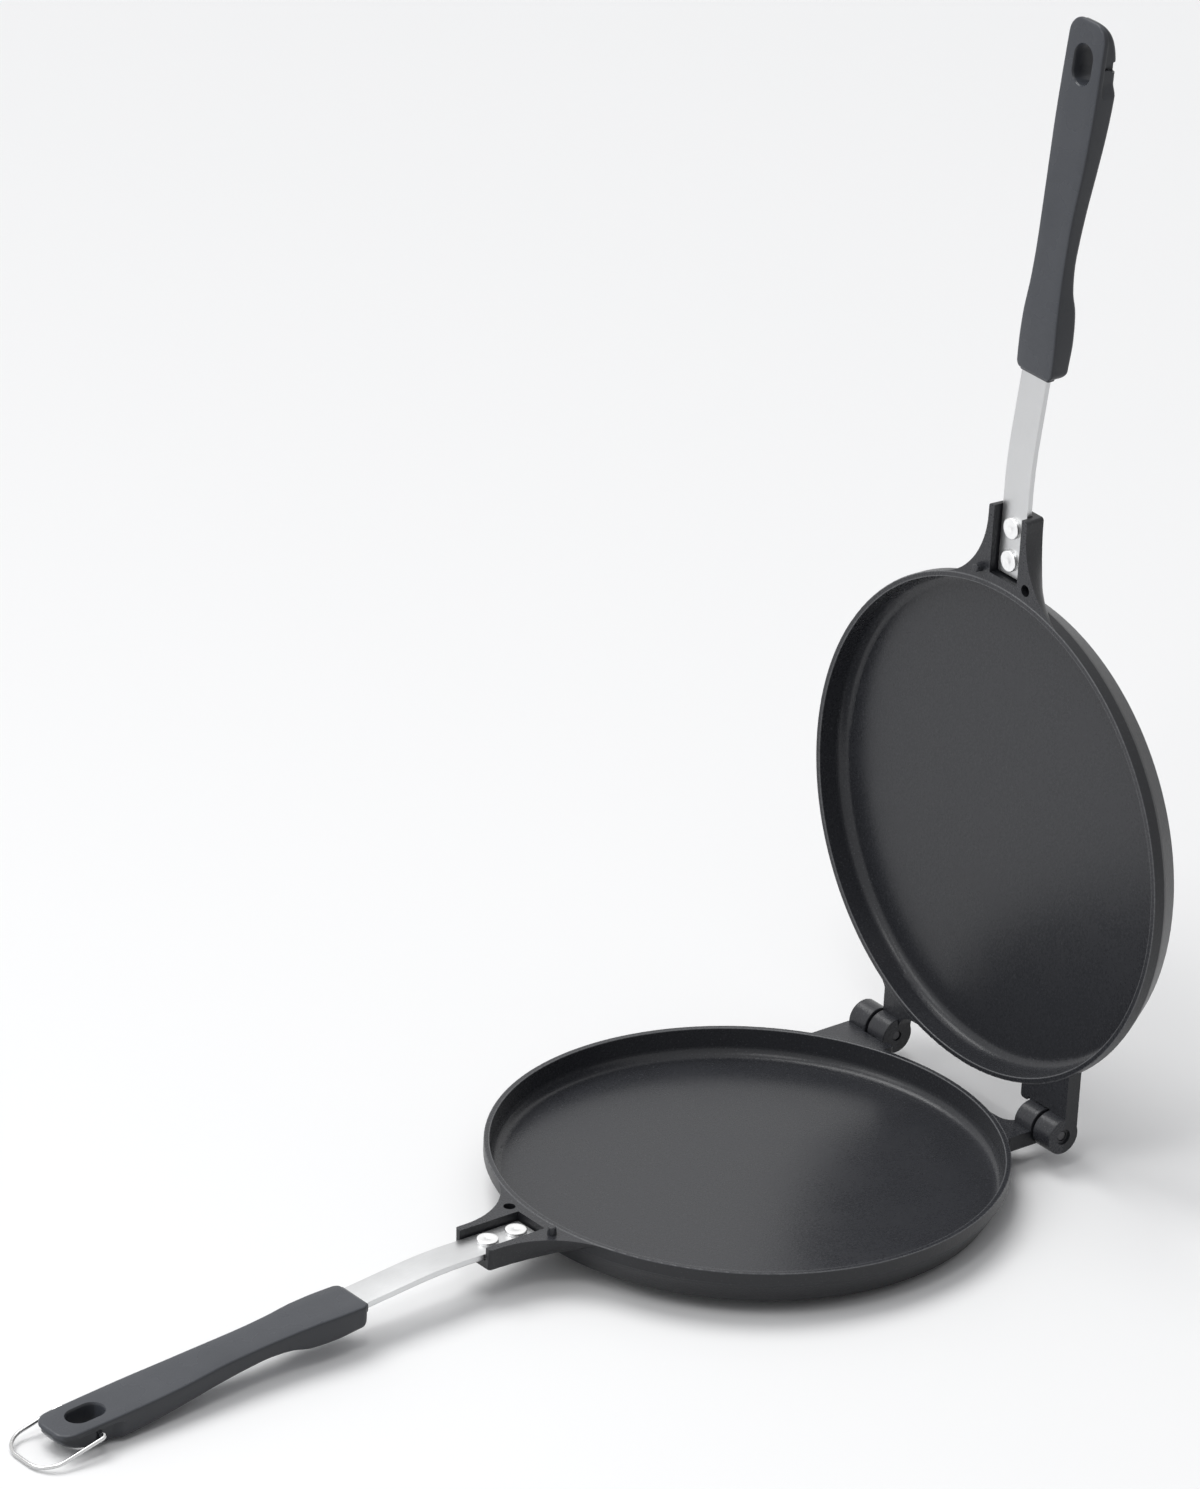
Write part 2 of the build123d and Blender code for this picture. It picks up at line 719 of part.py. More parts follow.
def handle():
    """Moulded handle with its slots, seats, pocket and screw recess."""
    sections = [handle_section(*s) for s in HANDLE_SECTIONS]
    body = loft(sections)
    body = body & nose_keep()
    body = body - nose_under_cut()
    body = body - scoop_cut(1) - scoop_cut(-1)
    body = body + collar()
    for cut in hang_slot() + bail_seat() + screw_cuts():
        body = body - cut
    body = body - tang_pocket()
    solids = body.solids().sort_by(SortBy.VOLUME)
    return solids[-1]


def handle_screw():
    """Pan-head screw through the handle's underside into the tang."""
    head_top = screw_head_top()
    tip = tang_path_z(SCREW_X) - SCREW_TIP
    head = Pos(SCREW_X, 0, head_top) * Cylinder(
        SCREW_HEAD_R,
        SCREW_HEAD_H,
        align=(Align.CENTER, Align.CENTER, Align.MAX),
    )
    low = head.edges().filter_by(GeomType.CIRCLE).sort_by(Axis.Z)[0]
    head = fillet(low, 0.8)
    slot = Pos(SCREW_X, 0, head_top - SCREW_HEAD_H) * Box(
        2 * SCREW_HEAD_R + 1.0,
        0.9,
        1.6,
    )
    shank = Pos(SCREW_X, 0, head_top) * Cylinder(
        SCREW_R,
        tip - head_top,
        align=(Align.CENTER, Align.CENTER, Align.MIN),
    )
    return (head - slot) + shank


def hinge_pin(side):
    """Straight pin through the two eyes on one side."""
    inner = -EYE_B[1] + EYE_EDGE_R
    outer = EAR_Y - PIN_INSET
    length = outer - inner
    middle = side * (inner + outer) / 2
    pin = Pos(HINGE_X, middle, PART_PLANE_Z) * Rot(90, 0, 0) * Cylinder(PIN_R, length)
    return chamfer(pin.edges().filter_by(GeomType.CIRCLE), 0.35)


def bail_wire():
    """Bent wire loop, hanging from its two stubs."""
    s = BAIL_SHOULDER_R
    e = BAIL_END_R
    h = BAIL_HALF
    r = BAIL_REACH
    k = math.sqrt(0.5)
    path = [
        Line((0, BAIL_INNER_Y), (0, h - s)),
        ThreePointArc((0, h - s), (-s + s * k, h - s + s * k), (-s, h)),
        Line((-s, h), (-r + e, h)),
        ThreePointArc((-r + e, h), (-r + e - e * k, h - e + e * k), (-r, h - e)),
        Line((-r, h - e), (-r, -h + e)),
        ThreePointArc((-r, -h + e), (-r + e - e * k, -h + e - e * k), (-r + e, -h)),
        Line((-r + e, -h), (-s, -h)),
        ThreePointArc((-s, -h), (-s + s * k, -h + s - s * k), (0, -h + s)),
        Line((0, -h + s), (0, -BAIL_INNER_Y)),
    ]
    wire = Wire(path)
    start = Plane(origin=(0, BAIL_INNER_Y, 0), z_dir=(0, 1, 0))
    loop = sweep(start * Circle(WIRE_R), path=wire)
    return Pos(BAIL_X, 0, BAIL_Z) * Rot(0, -BAIL_SAG_DEG, 0) * loop


def rest_lean(handle_solid):
    """Angle at which the handle's tip and the base's hinge side share a table."""
    base_x = BASE_R - BASE_EDGE_R / 2
    low = 0.0
    high = 6.0
    for _ in range(12):
        lean = (low + high) / 2
        foot_z = (Rot(0, lean, 0) * handle_solid).bounding_box().min.Z
        base_z = -base_x * math.sin(math.radians(lean))
        if foot_z < base_z:
            low = lean
        else:
            high = lean
    return (low + high) / 2


def turned_over(shape):
    """The same piece on the upper pan, shut, then opened to rest."""
    shut = Pos(0, 0, PART_PLANE_Z) * Rot(180, 0, 0) * Pos(0, 0, -PART_PLANE_Z) * shape
    return tilt_y(shut, OPEN_DEG, HINGE_X, PART_PLANE_Z)


def group(solids):
    """Separate solids kept as one node."""
    return Compound(children=list(solids))


def main():
    """Build each node, lean the whole object as it rests, and write it."""
    grip = handle()
    lean = rest_lean(grip)
    lower_half = {
        "lower_pan": casting(PIN_R - PIN_PRESS),
        "lower_tang": tang(),
        "lower_handle": grip,
        "lower_handle_screw": handle_screw(),
    }
    upper_half = {
        "upper_pan": casting(PIN_R + PIN_RUN),
        "upper_tang": tang(),
        "upper_handle": grip,
        "upper_handle_screw": handle_screw(),
    }
    pieces = dict(lower_half)
    for name, shape in upper_half.items():
        pieces[name] = turned_over(shape)
    pieces["left_hinge_pin"] = hinge_pin(1)
    pieces["right_hinge_pin"] = hinge_pin(-1)
    pieces["wire_bail"] = bail_wire()
    for name, shape in pieces.items():
        export_step(Rot(0, lean, 0) * shape, f"parts/{name}.step")
    low_rivets = [Rot(0, lean, 0) * rivet(x) for x in RIVET_XS]
    top_rivets = [Rot(0, lean, 0) * turned_over(rivet(x)) for x in RIVET_XS]
    export_step(group(low_rivets), "parts/lower_rivets.step")
    export_step(group(top_rivets), "parts/upper_rivets.step")
    print("lean in degrees:", round(lean, 4))


main()
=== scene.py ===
"""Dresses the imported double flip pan: finishes, fine pieces, studio and camera."""

import json
import logging
import math
from dataclasses import dataclass
from enum import Enum
from typing import Any, Sequence

import bmesh
import bpy
from mathutils import Matrix, Vector


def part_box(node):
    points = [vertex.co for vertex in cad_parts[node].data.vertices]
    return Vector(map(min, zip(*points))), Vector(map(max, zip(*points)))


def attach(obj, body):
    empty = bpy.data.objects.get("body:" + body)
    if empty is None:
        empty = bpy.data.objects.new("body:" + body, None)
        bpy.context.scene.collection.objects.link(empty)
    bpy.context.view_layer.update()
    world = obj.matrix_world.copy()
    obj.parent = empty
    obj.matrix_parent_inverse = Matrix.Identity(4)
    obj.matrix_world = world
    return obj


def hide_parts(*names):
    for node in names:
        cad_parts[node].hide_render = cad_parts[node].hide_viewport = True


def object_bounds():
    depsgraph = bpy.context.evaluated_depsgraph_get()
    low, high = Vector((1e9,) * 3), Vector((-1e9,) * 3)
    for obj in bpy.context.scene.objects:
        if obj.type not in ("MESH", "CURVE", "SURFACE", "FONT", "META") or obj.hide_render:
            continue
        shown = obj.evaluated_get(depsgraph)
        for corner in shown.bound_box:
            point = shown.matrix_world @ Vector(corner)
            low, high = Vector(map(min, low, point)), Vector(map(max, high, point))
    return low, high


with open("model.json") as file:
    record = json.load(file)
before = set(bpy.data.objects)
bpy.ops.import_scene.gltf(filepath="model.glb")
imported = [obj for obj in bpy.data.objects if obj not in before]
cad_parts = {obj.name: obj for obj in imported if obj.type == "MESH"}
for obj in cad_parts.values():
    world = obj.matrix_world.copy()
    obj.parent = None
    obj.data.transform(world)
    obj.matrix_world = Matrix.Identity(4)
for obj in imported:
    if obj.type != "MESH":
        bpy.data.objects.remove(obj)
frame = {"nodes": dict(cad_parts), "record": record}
CAD_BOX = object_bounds()

LOG = logging.getLogger("flip_pan")
MM = 0.001
IMAGE_WIDTH = 1200
IMAGE_HEIGHT = 1489
WELD_MM = 0.001
SHARP_ANGLE = math.radians(32)
DECIMALS = 4

Colour = tuple[float, float, float, float]
Point = tuple[float, float, float]
Pair = tuple[float, float]


class Half(Enum):
    """Which half of the pan a piece belongs to."""

    LOWER = "lower"
    UPPER = "upper"

    @property
    def body(self) -> str:
        """Name of the body that the half rides on."""
        return f"{self.value}_half"

    def node(self, part: str) -> str:
        """Name of this half's CAD node for a part."""
        return f"{self.value}_{part}"


@dataclass(frozen=True)
class Stance:
    """How the two halves stand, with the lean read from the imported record.

    Pieces are drawn in a pan's own frame, in millimetres, with the origin at
    the centre of its flat underside and +X towards the hinge.
    """

    lean: float
    opening: float = math.radians(91.2)
    hinge_x: float = 132.0
    meet_z: float = 18.6

    @staticmethod
    def read(record: dict) -> "Stance":
        """Take the lean from the base mount's axis.

        Args:
            record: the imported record.

        Returns:
            The stance of the two halves.
        """
        axis = record["mounts"][0]["axis"]
        return Stance(lean=math.atan2(-axis[0], -axis[2]))

    def matrix(self, half: Half) -> Matrix:
        """Matrix from a half's own frame, in millimetres, to the row frame.

        Args:
            half: the half that the piece is drawn for.

        Returns:
            A 4x4 matrix that also turns millimetres to metres.
        """
        lean = Matrix.Rotation(self.lean, 4, "Y")
        scale = Matrix.Scale(MM, 4)
        if half is Half.LOWER:
            return scale @ lean
        seat = Matrix.Translation((0, 0, self.meet_z))
        shut = seat @ Matrix.Rotation(math.pi, 4, "X") @ seat.inverted()
        pivot = Matrix.Translation((self.hinge_x, 0, self.meet_z))
        swing = pivot @ Matrix.Rotation(self.opening, 4, "Y") @ pivot.inverted()
        return scale @ lean @ swing @ shut


class Wire:
    """A node socket that adds Math nodes when it is used in an expression."""

    def __init__(self, graph: "Graph", socket: Any) -> None:
        """Keep the graph and the socket that carries the value."""
        self.graph = graph
        self.socket = socket

    def _math(self, operation: str, *values: Any) -> "Wire":
        """Add one Math node and return its result."""
        return self.graph.add("ShaderNodeMath", {"operation": operation}, dict(enumerate(values)))

    def __add__(self, other: Any) -> "Wire":
        """Sum."""
        return self._math("ADD", self, other)

    def __radd__(self, other: Any) -> "Wire":
        """Sum, reflected."""
        return self._math("ADD", other, self)

    def __sub__(self, other: Any) -> "Wire":
        """Difference."""
        return self._math("SUBTRACT", self, other)

    def __rsub__(self, other: Any) -> "Wire":
        """Difference, reflected."""
        return self._math("SUBTRACT", other, self)

    def __mul__(self, other: Any) -> "Wire":
        """Product."""
        return self._math("MULTIPLY", self, other)

    def __rmul__(self, other: Any) -> "Wire":
        """Product, reflected."""
        return self._math("MULTIPLY", other, self)

    def __truediv__(self, other: Any) -> "Wire":
        """Quotient."""
        return self._math("DIVIDE", self, other)

    def __rtruediv__(self, other: Any) -> "Wire":
        """Quotient, reflected."""
        return self._math("DIVIDE", other, self)

    def floor(self) -> "Wire":
        """Whole part."""
        return self._math("FLOOR", self)

    def root(self) -> "Wire":
        """Square root."""
        return self._math("SQRT", self)

    def sine(self) -> "Wire":
        """Sine."""
        return self._math("SINE", self)

    def cosine(self) -> "Wire":
        """Cosine."""
        return self._math("COSINE", self)

    def most(self, other: Any) -> "Wire":
        """The larger of the two."""
        return self._math("MAXIMUM", self, other)

    def between(self, low: float, high: float) -> "Wire":
        """Smooth ramp from 0 at low to 1 at high.

        Args:
            low: value at which the ramp starts.
            high: value at which it ends.

        Returns:
            The ramp, kept between 0 and 1.
        """
        return self.graph.add(
            "ShaderNodeMapRange",
            {"interpolation_type": "SMOOTHSTEP", "clamp": True},
            {"Value": self, "From Min": low, "From Max": high},
        )

    def past(self, level: float, span: Pair) -> "Wire":
        """Smooth ramp over a span that is measured from a level.

        Args:
            level: the level.
            span: where the ramp starts and ends, from that level.

        Returns:
            The ramp, kept between 0 and 1.
        """
        return self.between(level + span[0], level + span[1])


class Graph:
    """A node tree that is filled by plain calls."""

    def __init__(self, tree: Any) -> None:
        """Keep the tree."""
        self.tree = tree

    def add(
        self, kind: str, settings: dict | None = None, values: dict | None = None, out: Any = 0
    ) -> Wire:
        """Add a node, make its settings, then fill or link its sockets.

        Args:
            kind: the node's type name.
            settings: properties of the node, set before its sockets.
            values: socket name or number to a value or a wire.
            out: the output that is returned.

        Returns:
            The chosen output.
        """
        node = self.tree.nodes.new(kind)
        for key, value in (settings or {}).items():
            setattr(node, key, value)
        for key, value in (values or {}).items():
            socket = node.inputs[key]
            if isinstance(value, Wire):
                self.tree.links.new(value.socket, socket)
            else:
                socket.default_value = value
        return Wire(self, node.outputs[out])

    def parts(self, vector: Wire) -> tuple[Wire, Wire, Wire]:
        """Split a vector.

        Args:
            vector: the vector.

        Returns:
            Its x, y and z.
        """
        node = self.add("ShaderNodeSeparateXYZ", None, {0: vector}).socket.node
        return tuple(Wire(self, node.outputs[index]) for index in range(3))

    def join(self, x: Any, y: Any, z: Any) -> Wire:
        """Join three values.

        Args:
            x: first value.
            y: second value.
            z: third value.

        Returns:
            The vector.
        """
        return self.add("ShaderNodeCombineXYZ", None, {0: x, 1: y, 2: z})


class Recipe(Graph):
    """One material and its nodes."""

    def __init__(self, name: str) -> None:
        """Start an empty node material.

        Args:
            name: the material's name.
        """
        self.material = bpy.data.materials.new(name)
        self.material.use_nodes = True
        super().__init__(self.material.node_tree)
        self.tree.nodes.clear()

    def place(self, matrix: Matrix | None = None) -> Wire:
        """Object coordinates, read in a piece's own frame if one is given.

        Args:
            matrix: from the piece's own frame to the row frame.

        Returns:
            The vector, in metres, or in the frame's own unit.
        """
        coordinates = self.add("ShaderNodeTexCoord", out="Object")
        if matrix is None:
            return coordinates
        move, turn, scale = matrix.decompose()
        values = {"Vector": coordinates, "Location": move, "Rotation": turn.to_euler(), "Scale": scale}
        return self.add("ShaderNodeMapping", {"vector_type": "TEXTURE"}, values)

    def stretched(self, where: Wire, scale: Point) -> Wire:
        """Scale a vector on each axis.

        Args:
            where: the vector.
            scale: factor on each axis.

        Returns:
            The scaled vector.
        """
        return self.add("ShaderNodeMapping", None, {"Vector": where, "Scale": scale})

    def noise(self, where: Wire, scale: float, detail: float = 2.0, rough: float = 0.5) -> Wire:
        """Noise value at a place.

        Args:
            where: the vector that is read.
            scale: noise scale in cells a unit.
            detail: octaves.
            rough: strength of the finer octaves.

        Returns:
            A value about 0.5.
        """
        values = {"Vector": where, "Scale": scale, "Detail": detail, "Roughness": rough}
        return self.add("ShaderNodeTexNoise", None, values)

    def cells(self, where: Wire, scale: float) -> Wire:
        """Distance to the nearest of many scattered points.

        Args:
            where: the vector that is read.
            scale: points a unit.

        Returns:
            A value from 0 at a point.
        """
        return self.add("ShaderNodeTexVoronoi", None, {"Vector": where, "Scale": scale})

    def mix(self, factor: Any, first: Any, second: Any) -> Wire:
        """Blend two colours.

        Args:
            factor: share of the second colour.
            first: colour at 0.
            second: colour at 1.

        Returns:
            The blended colour.
        """
        return self.add("ShaderNodeMix", {"data_type": "RGBA"}, {0: factor, 6: first, 7: second}, out=2)

    def bump(self, height: Wire, strength: float, distance: float) -> Wire:
        """Bumped normal.

        Args:
            height: the height field.
            strength: share of the effect.
            distance: height of the field's full range, in metres.

        Returns:
            The normal.
        """
        values = {"Height": height, "Strength": strength, "Distance": distance}
        return self.add("ShaderNodeBump", None, values)

    def surface(self, **values: Any) -> bpy.types.Material:
        """Close the recipe with a Principled surface.

        Args:
            values: socket names, with spaces as underscores, to values.

        Returns:
            The finished material.
        """
        sockets = {key.replace("_", " "): value for key, value in values.items()}
        return self.close(self.add("ShaderNodeBsdfPrincipled", None, sockets))

    def close(self, shader: Wire) -> bpy.types.Material:
        """Link a shader to the material's output.

        Args:
            shader: the finished shader.

        Returns:
            The material.
        """
        node = self.tree.nodes.new("ShaderNodeOutputMaterial")
        self.tree.links.new(shader.socket, node.inputs["Surface"])
        return self.material


class Rule(Graph):
    """One Geometry Nodes tree with named inputs."""

    def __init__(self, name: str, **inputs: str) -> None:
        """Open the tree.

        Args:
            name: the tree's name.
            inputs: input names, with underscores for spaces, to socket kinds.
        """
        super().__init__(bpy.data.node_groups.new(name, "GeometryNodeTree"))
        face = self.tree.interface
        face.new_socket("Geometry", in_out="INPUT", socket_type="NodeSocketGeometry")
        for key, kind in {**inputs, "Finish": "Material"}.items():
            face.new_socket(key.replace("_", " "), in_out="INPUT", socket_type=f"NodeSocket{kind}")
        face.new_socket("Geometry", in_out="OUTPUT", socket_type="NodeSocketGeometry")
        self.source = self.tree.nodes.new("NodeGroupInput")

    def given(self, name: str) -> Wire:
        """One of the tree's inputs.

        Args:
            name: the input's name.

        Returns:
            Its socket.
        """
        return Wire(self, self.source.outputs[name])

    def close(self, geometry: Wire) -> None:
        """End the tree with real geometry that carries its finish.

        Args:
            geometry: what the rule made.
        """
        whole = self.add("GeometryNodeRealizeInstances", None, {"Geometry": geometry})
        values = {"Geometry": whole, "Material": self.given("Finish")}
        dressed = self.add("GeometryNodeSetMaterial", None, values)
        out = self.tree.nodes.new("NodeGroupOutput")
        self.tree.links.new(dressed.socket, out.inputs["Geometry"])

    def make(self, base: bpy.types.Mesh, values: dict[str, Any]) -> bpy.types.Mesh:
        """Run the rule once and keep the result as a plain mesh.

        Args:
            base: mesh that the rule starts from.
            values: input names to values.

        Returns:
            The plain mesh.
        """
        obj = bpy.data.objects.new("rule_base", base)
        modifier = obj.modifiers.new("rule", "NODES")
        modifier.node_group = self.tree
        for item in self.tree.interface.items_tree:
            if item.in_out == "INPUT" and item.name in values:
                modifier[item.identifier] = values[item.name]
        bpy.context.collection.objects.link(obj)
        graph = bpy.context.evaluated_depsgraph_get()
        mesh = bpy.data.meshes.new_from_object(obj.evaluated_get(graph))
        obj.modifiers.clear()
        bpy.data.objects.remove(obj)
        return mesh


class TurnedRow(Rule):
    """Turns a half profile about Z and repeats it in a straight row.

    The base mesh holds the profile's points in order, x as the radius. The
    nudge keeps a whole quotient from being rounded down.
    """

    nudge: float = 0.0001

    def __init__(self) -> None:
        """Build the tree."""
        super().__init__("turned_row", Segments="Int", Count="Int", Spacing="Vector")
        profile = self.given("Geometry")
        values = {"Geometry": profile}
        size = self.add("GeometryNodeAttributeDomainSize", None, values, out="Point Count")
        segments = self.given("Segments")
        values = {"Vertices X": segments + 1, "Vertices Y": size}
        sides = self.add("GeometryNodeMeshGrid", None, values, out="Mesh")
        index = self.add("GeometryNodeInputIndex")
        step = (index / size + self.nudge).floor()
        along = index - step * size
        values = {"Geometry": profile, "Value": self.add("GeometryNodeInputPosition"), "Index": along}
        sampled = self.add("GeometryNodeSampleIndex", {"data_type": "FLOAT_VECTOR"}, values)
        radius, _, height = self.parts(sampled)
        angle = step * (2 * math.pi) / segments
        place = self.join(radius * angle.cosine(), radius * angle.sine(), height)
        shell = self.add("GeometryNodeSetPosition", None, {"Geometry": sides, "Position": place})
        values = {"Geometry": shell, "Distance": WELD_MM}
        closed = self.add("GeometryNodeMergeByDistance", None, values)
        values = {"Count": self.given("Count"), "Offset": self.given("Spacing")}
        row = self.add("GeometryNodeMeshLine", None, values)
        values = {"Points": row, "Instance": closed}
        self.close(self.add("GeometryNodeInstanceOnPoints", None, values))


class SweptStrap(Rule):
    """Sweeps a strap section along a path, and narrows it past a neck.

    The base mesh is a chain of edges along the strap's centre line.
    """

    edge_steps: int = 4

    def __init__(self) -> None:
        """Build the tree."""
        super().__init__(
            "swept_strap",
            Width="Float",
            Thickness="Float",
            Edge_Radius="Float",
            Neck_X="Float",
            Neck_Length="Float",
            Tail_Share="Float",
        )
        chain = self.add("GeometryNodeMeshToCurve", None, {"Mesh": self.given("Geometry")})
        path = self.add("GeometryNodeSetCurveNormal", {"mode": "Z_UP"}, {"Curve": chain})
        values = {"Width": self.given("Width"), "Height": self.given("Thickness")}
        plain = self.add("GeometryNodeCurvePrimitiveQuadrilateral", None, values)
        values = {"Curve": plain, "Count": self.edge_steps, "Radius": self.given("Edge Radius")}
        section = self.add("GeometryNodeFilletCurve", {"mode": "POLY"}, values)
        values = {"Curve": path, "Profile Curve": section, "Fill Caps": True}
        strap = self.add("GeometryNodeCurveToMesh", None, values)
        x, y, z = self.parts(self.add("GeometryNodeInputPosition"))
        share = (self.given("Neck X") - x) / self.given("Neck Length")
        eased = share.between(0.0, 1.0)
        width = 1.0 - eased * (1.0 - self.given("Tail Share"))
        moved = {"Geometry": strap, "Position": self.join(x, y * width, z)}
        self.close(self.add("GeometryNodeSetPosition", None, moved))


class BentWire(Rule):
    """Sweeps a round wire along a chain whose corners are bent.

    Each corner's radius is the base mesh's attribute named bend.
    """

    def __init__(self) -> None:
        """Build the tree."""
        super().__init__("bent_wire", Wire_Radius="Float", Bend_Steps="Int", Sides="Int")
        chain = self.add("GeometryNodeMeshToCurve", None, {"Mesh": self.given("Geometry")})
        bend = self.add("GeometryNodeInputNamedAttribute", {"data_type": "FLOAT"}, {"Name": "bend"})
        values = {"Curve": chain, "Count": self.given("Bend Steps"), "Radius": bend}
        path = self.add("GeometryNodeFilletCurve", {"mode": "POLY"}, values)
        values = {"Resolution": self.given("Sides"), "Radius": self.given("Wire Radius")}
        section = self.add("GeometryNodeCurvePrimitiveCircle", None, values)
        values = {"Curve": path, "Profile Curve": section, "Fill Caps": True}
        self.close(self.add("GeometryNodeCurveToMesh", None, values))


def chain_mesh(points: Sequence[Point], bends: Sequence[float] | None = None) -> bpy.types.Mesh:
    """Mesh of points joined in a row, with a bend radius at each if given.

    Args:
        points: the points in order.
        bends: corner radius at each point.

    Returns:
        The mesh.
    """
    mesh = bpy.data.meshes.new("chain")
    edges = [(index, index + 1) for index in range(len(points) - 1)]
    mesh.from_pydata(points, edges, [])
    if bends is not None:
        mesh.attributes.new("bend", "FLOAT", "POINT").data.foreach_set("value", bends)
    return mesh


def arc(centre: Pair, radius: float, start: float, end: float, steps: int) -> list[Pair]:
    """Points of an arc, both ends included.

    Args:
        centre: the arc's centre.
        radius: its radius.
        start: first angle in degrees.
        end: last angle in degrees.
        steps: number of runs.

    Returns:
        The points.
    """
    points = []
    for index in range(steps + 1):
        angle = math.radians(start + (end - start) * index / steps)
        points.append((centre[0] + radius * math.cos(angle), centre[1] + radius * math.sin(angle)))
    return points


def put(name: str, data: Any) -> bpy.types.Object:
    """Make an object and link it to the scene's collection.

    Args:
        name: the object's name.
        data: its mesh, lamp or camera.

    Returns:
        The object.
    """
    obj = bpy.data.objects.new(name, data)
    bpy.context.collection.objects.link(obj)
    return obj


def settle(
    name: str, mesh: bpy.types.Mesh, matrix: Matrix, body: str, nodes: Sequence[str]
) -> None:
    """Turn a plain mesh into a piece that rides on a body.

    Args:
        name: the piece's name.
        mesh: its mesh, in its own frame.
        matrix: from that frame to the row frame.
        body: the body that it rides on.
        nodes: the CAD nodes that it stands for.
    """
    mesh.transform(matrix)
    work = bmesh.new()
    work.from_mesh(mesh)
    bmesh.ops.remove_doubles(work, verts=work.verts, dist=WELD_MM * MM)
    bmesh.ops.recalc_face_normals(work, faces=work.faces)
    for face in work.faces:
        face.smooth = True
    work.to_mesh(mesh)
    work.free()
    mesh.set_sharp_from_angle(angle=SHARP_ANGLE)
    mesh.name = name
    piece = put(name, mesh)
    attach(piece, body)
    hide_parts(*nodes)
    LOG.info("%s: %d faces, stands for %s", name, len(mesh.polygons), ", ".join(nodes))
    axes = list(zip(*(vertex.co for vertex in mesh.vertices)))
    ends = {"first node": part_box(nodes[0]), "mesh": (map(min, axes), map(max, axes))}
    for label, corners in ends.items():
        low, high = ([round(value, DECIMALS) for value in corner] for corner in corners)
        LOG.info("  %s from %s to %s", label, low, high)


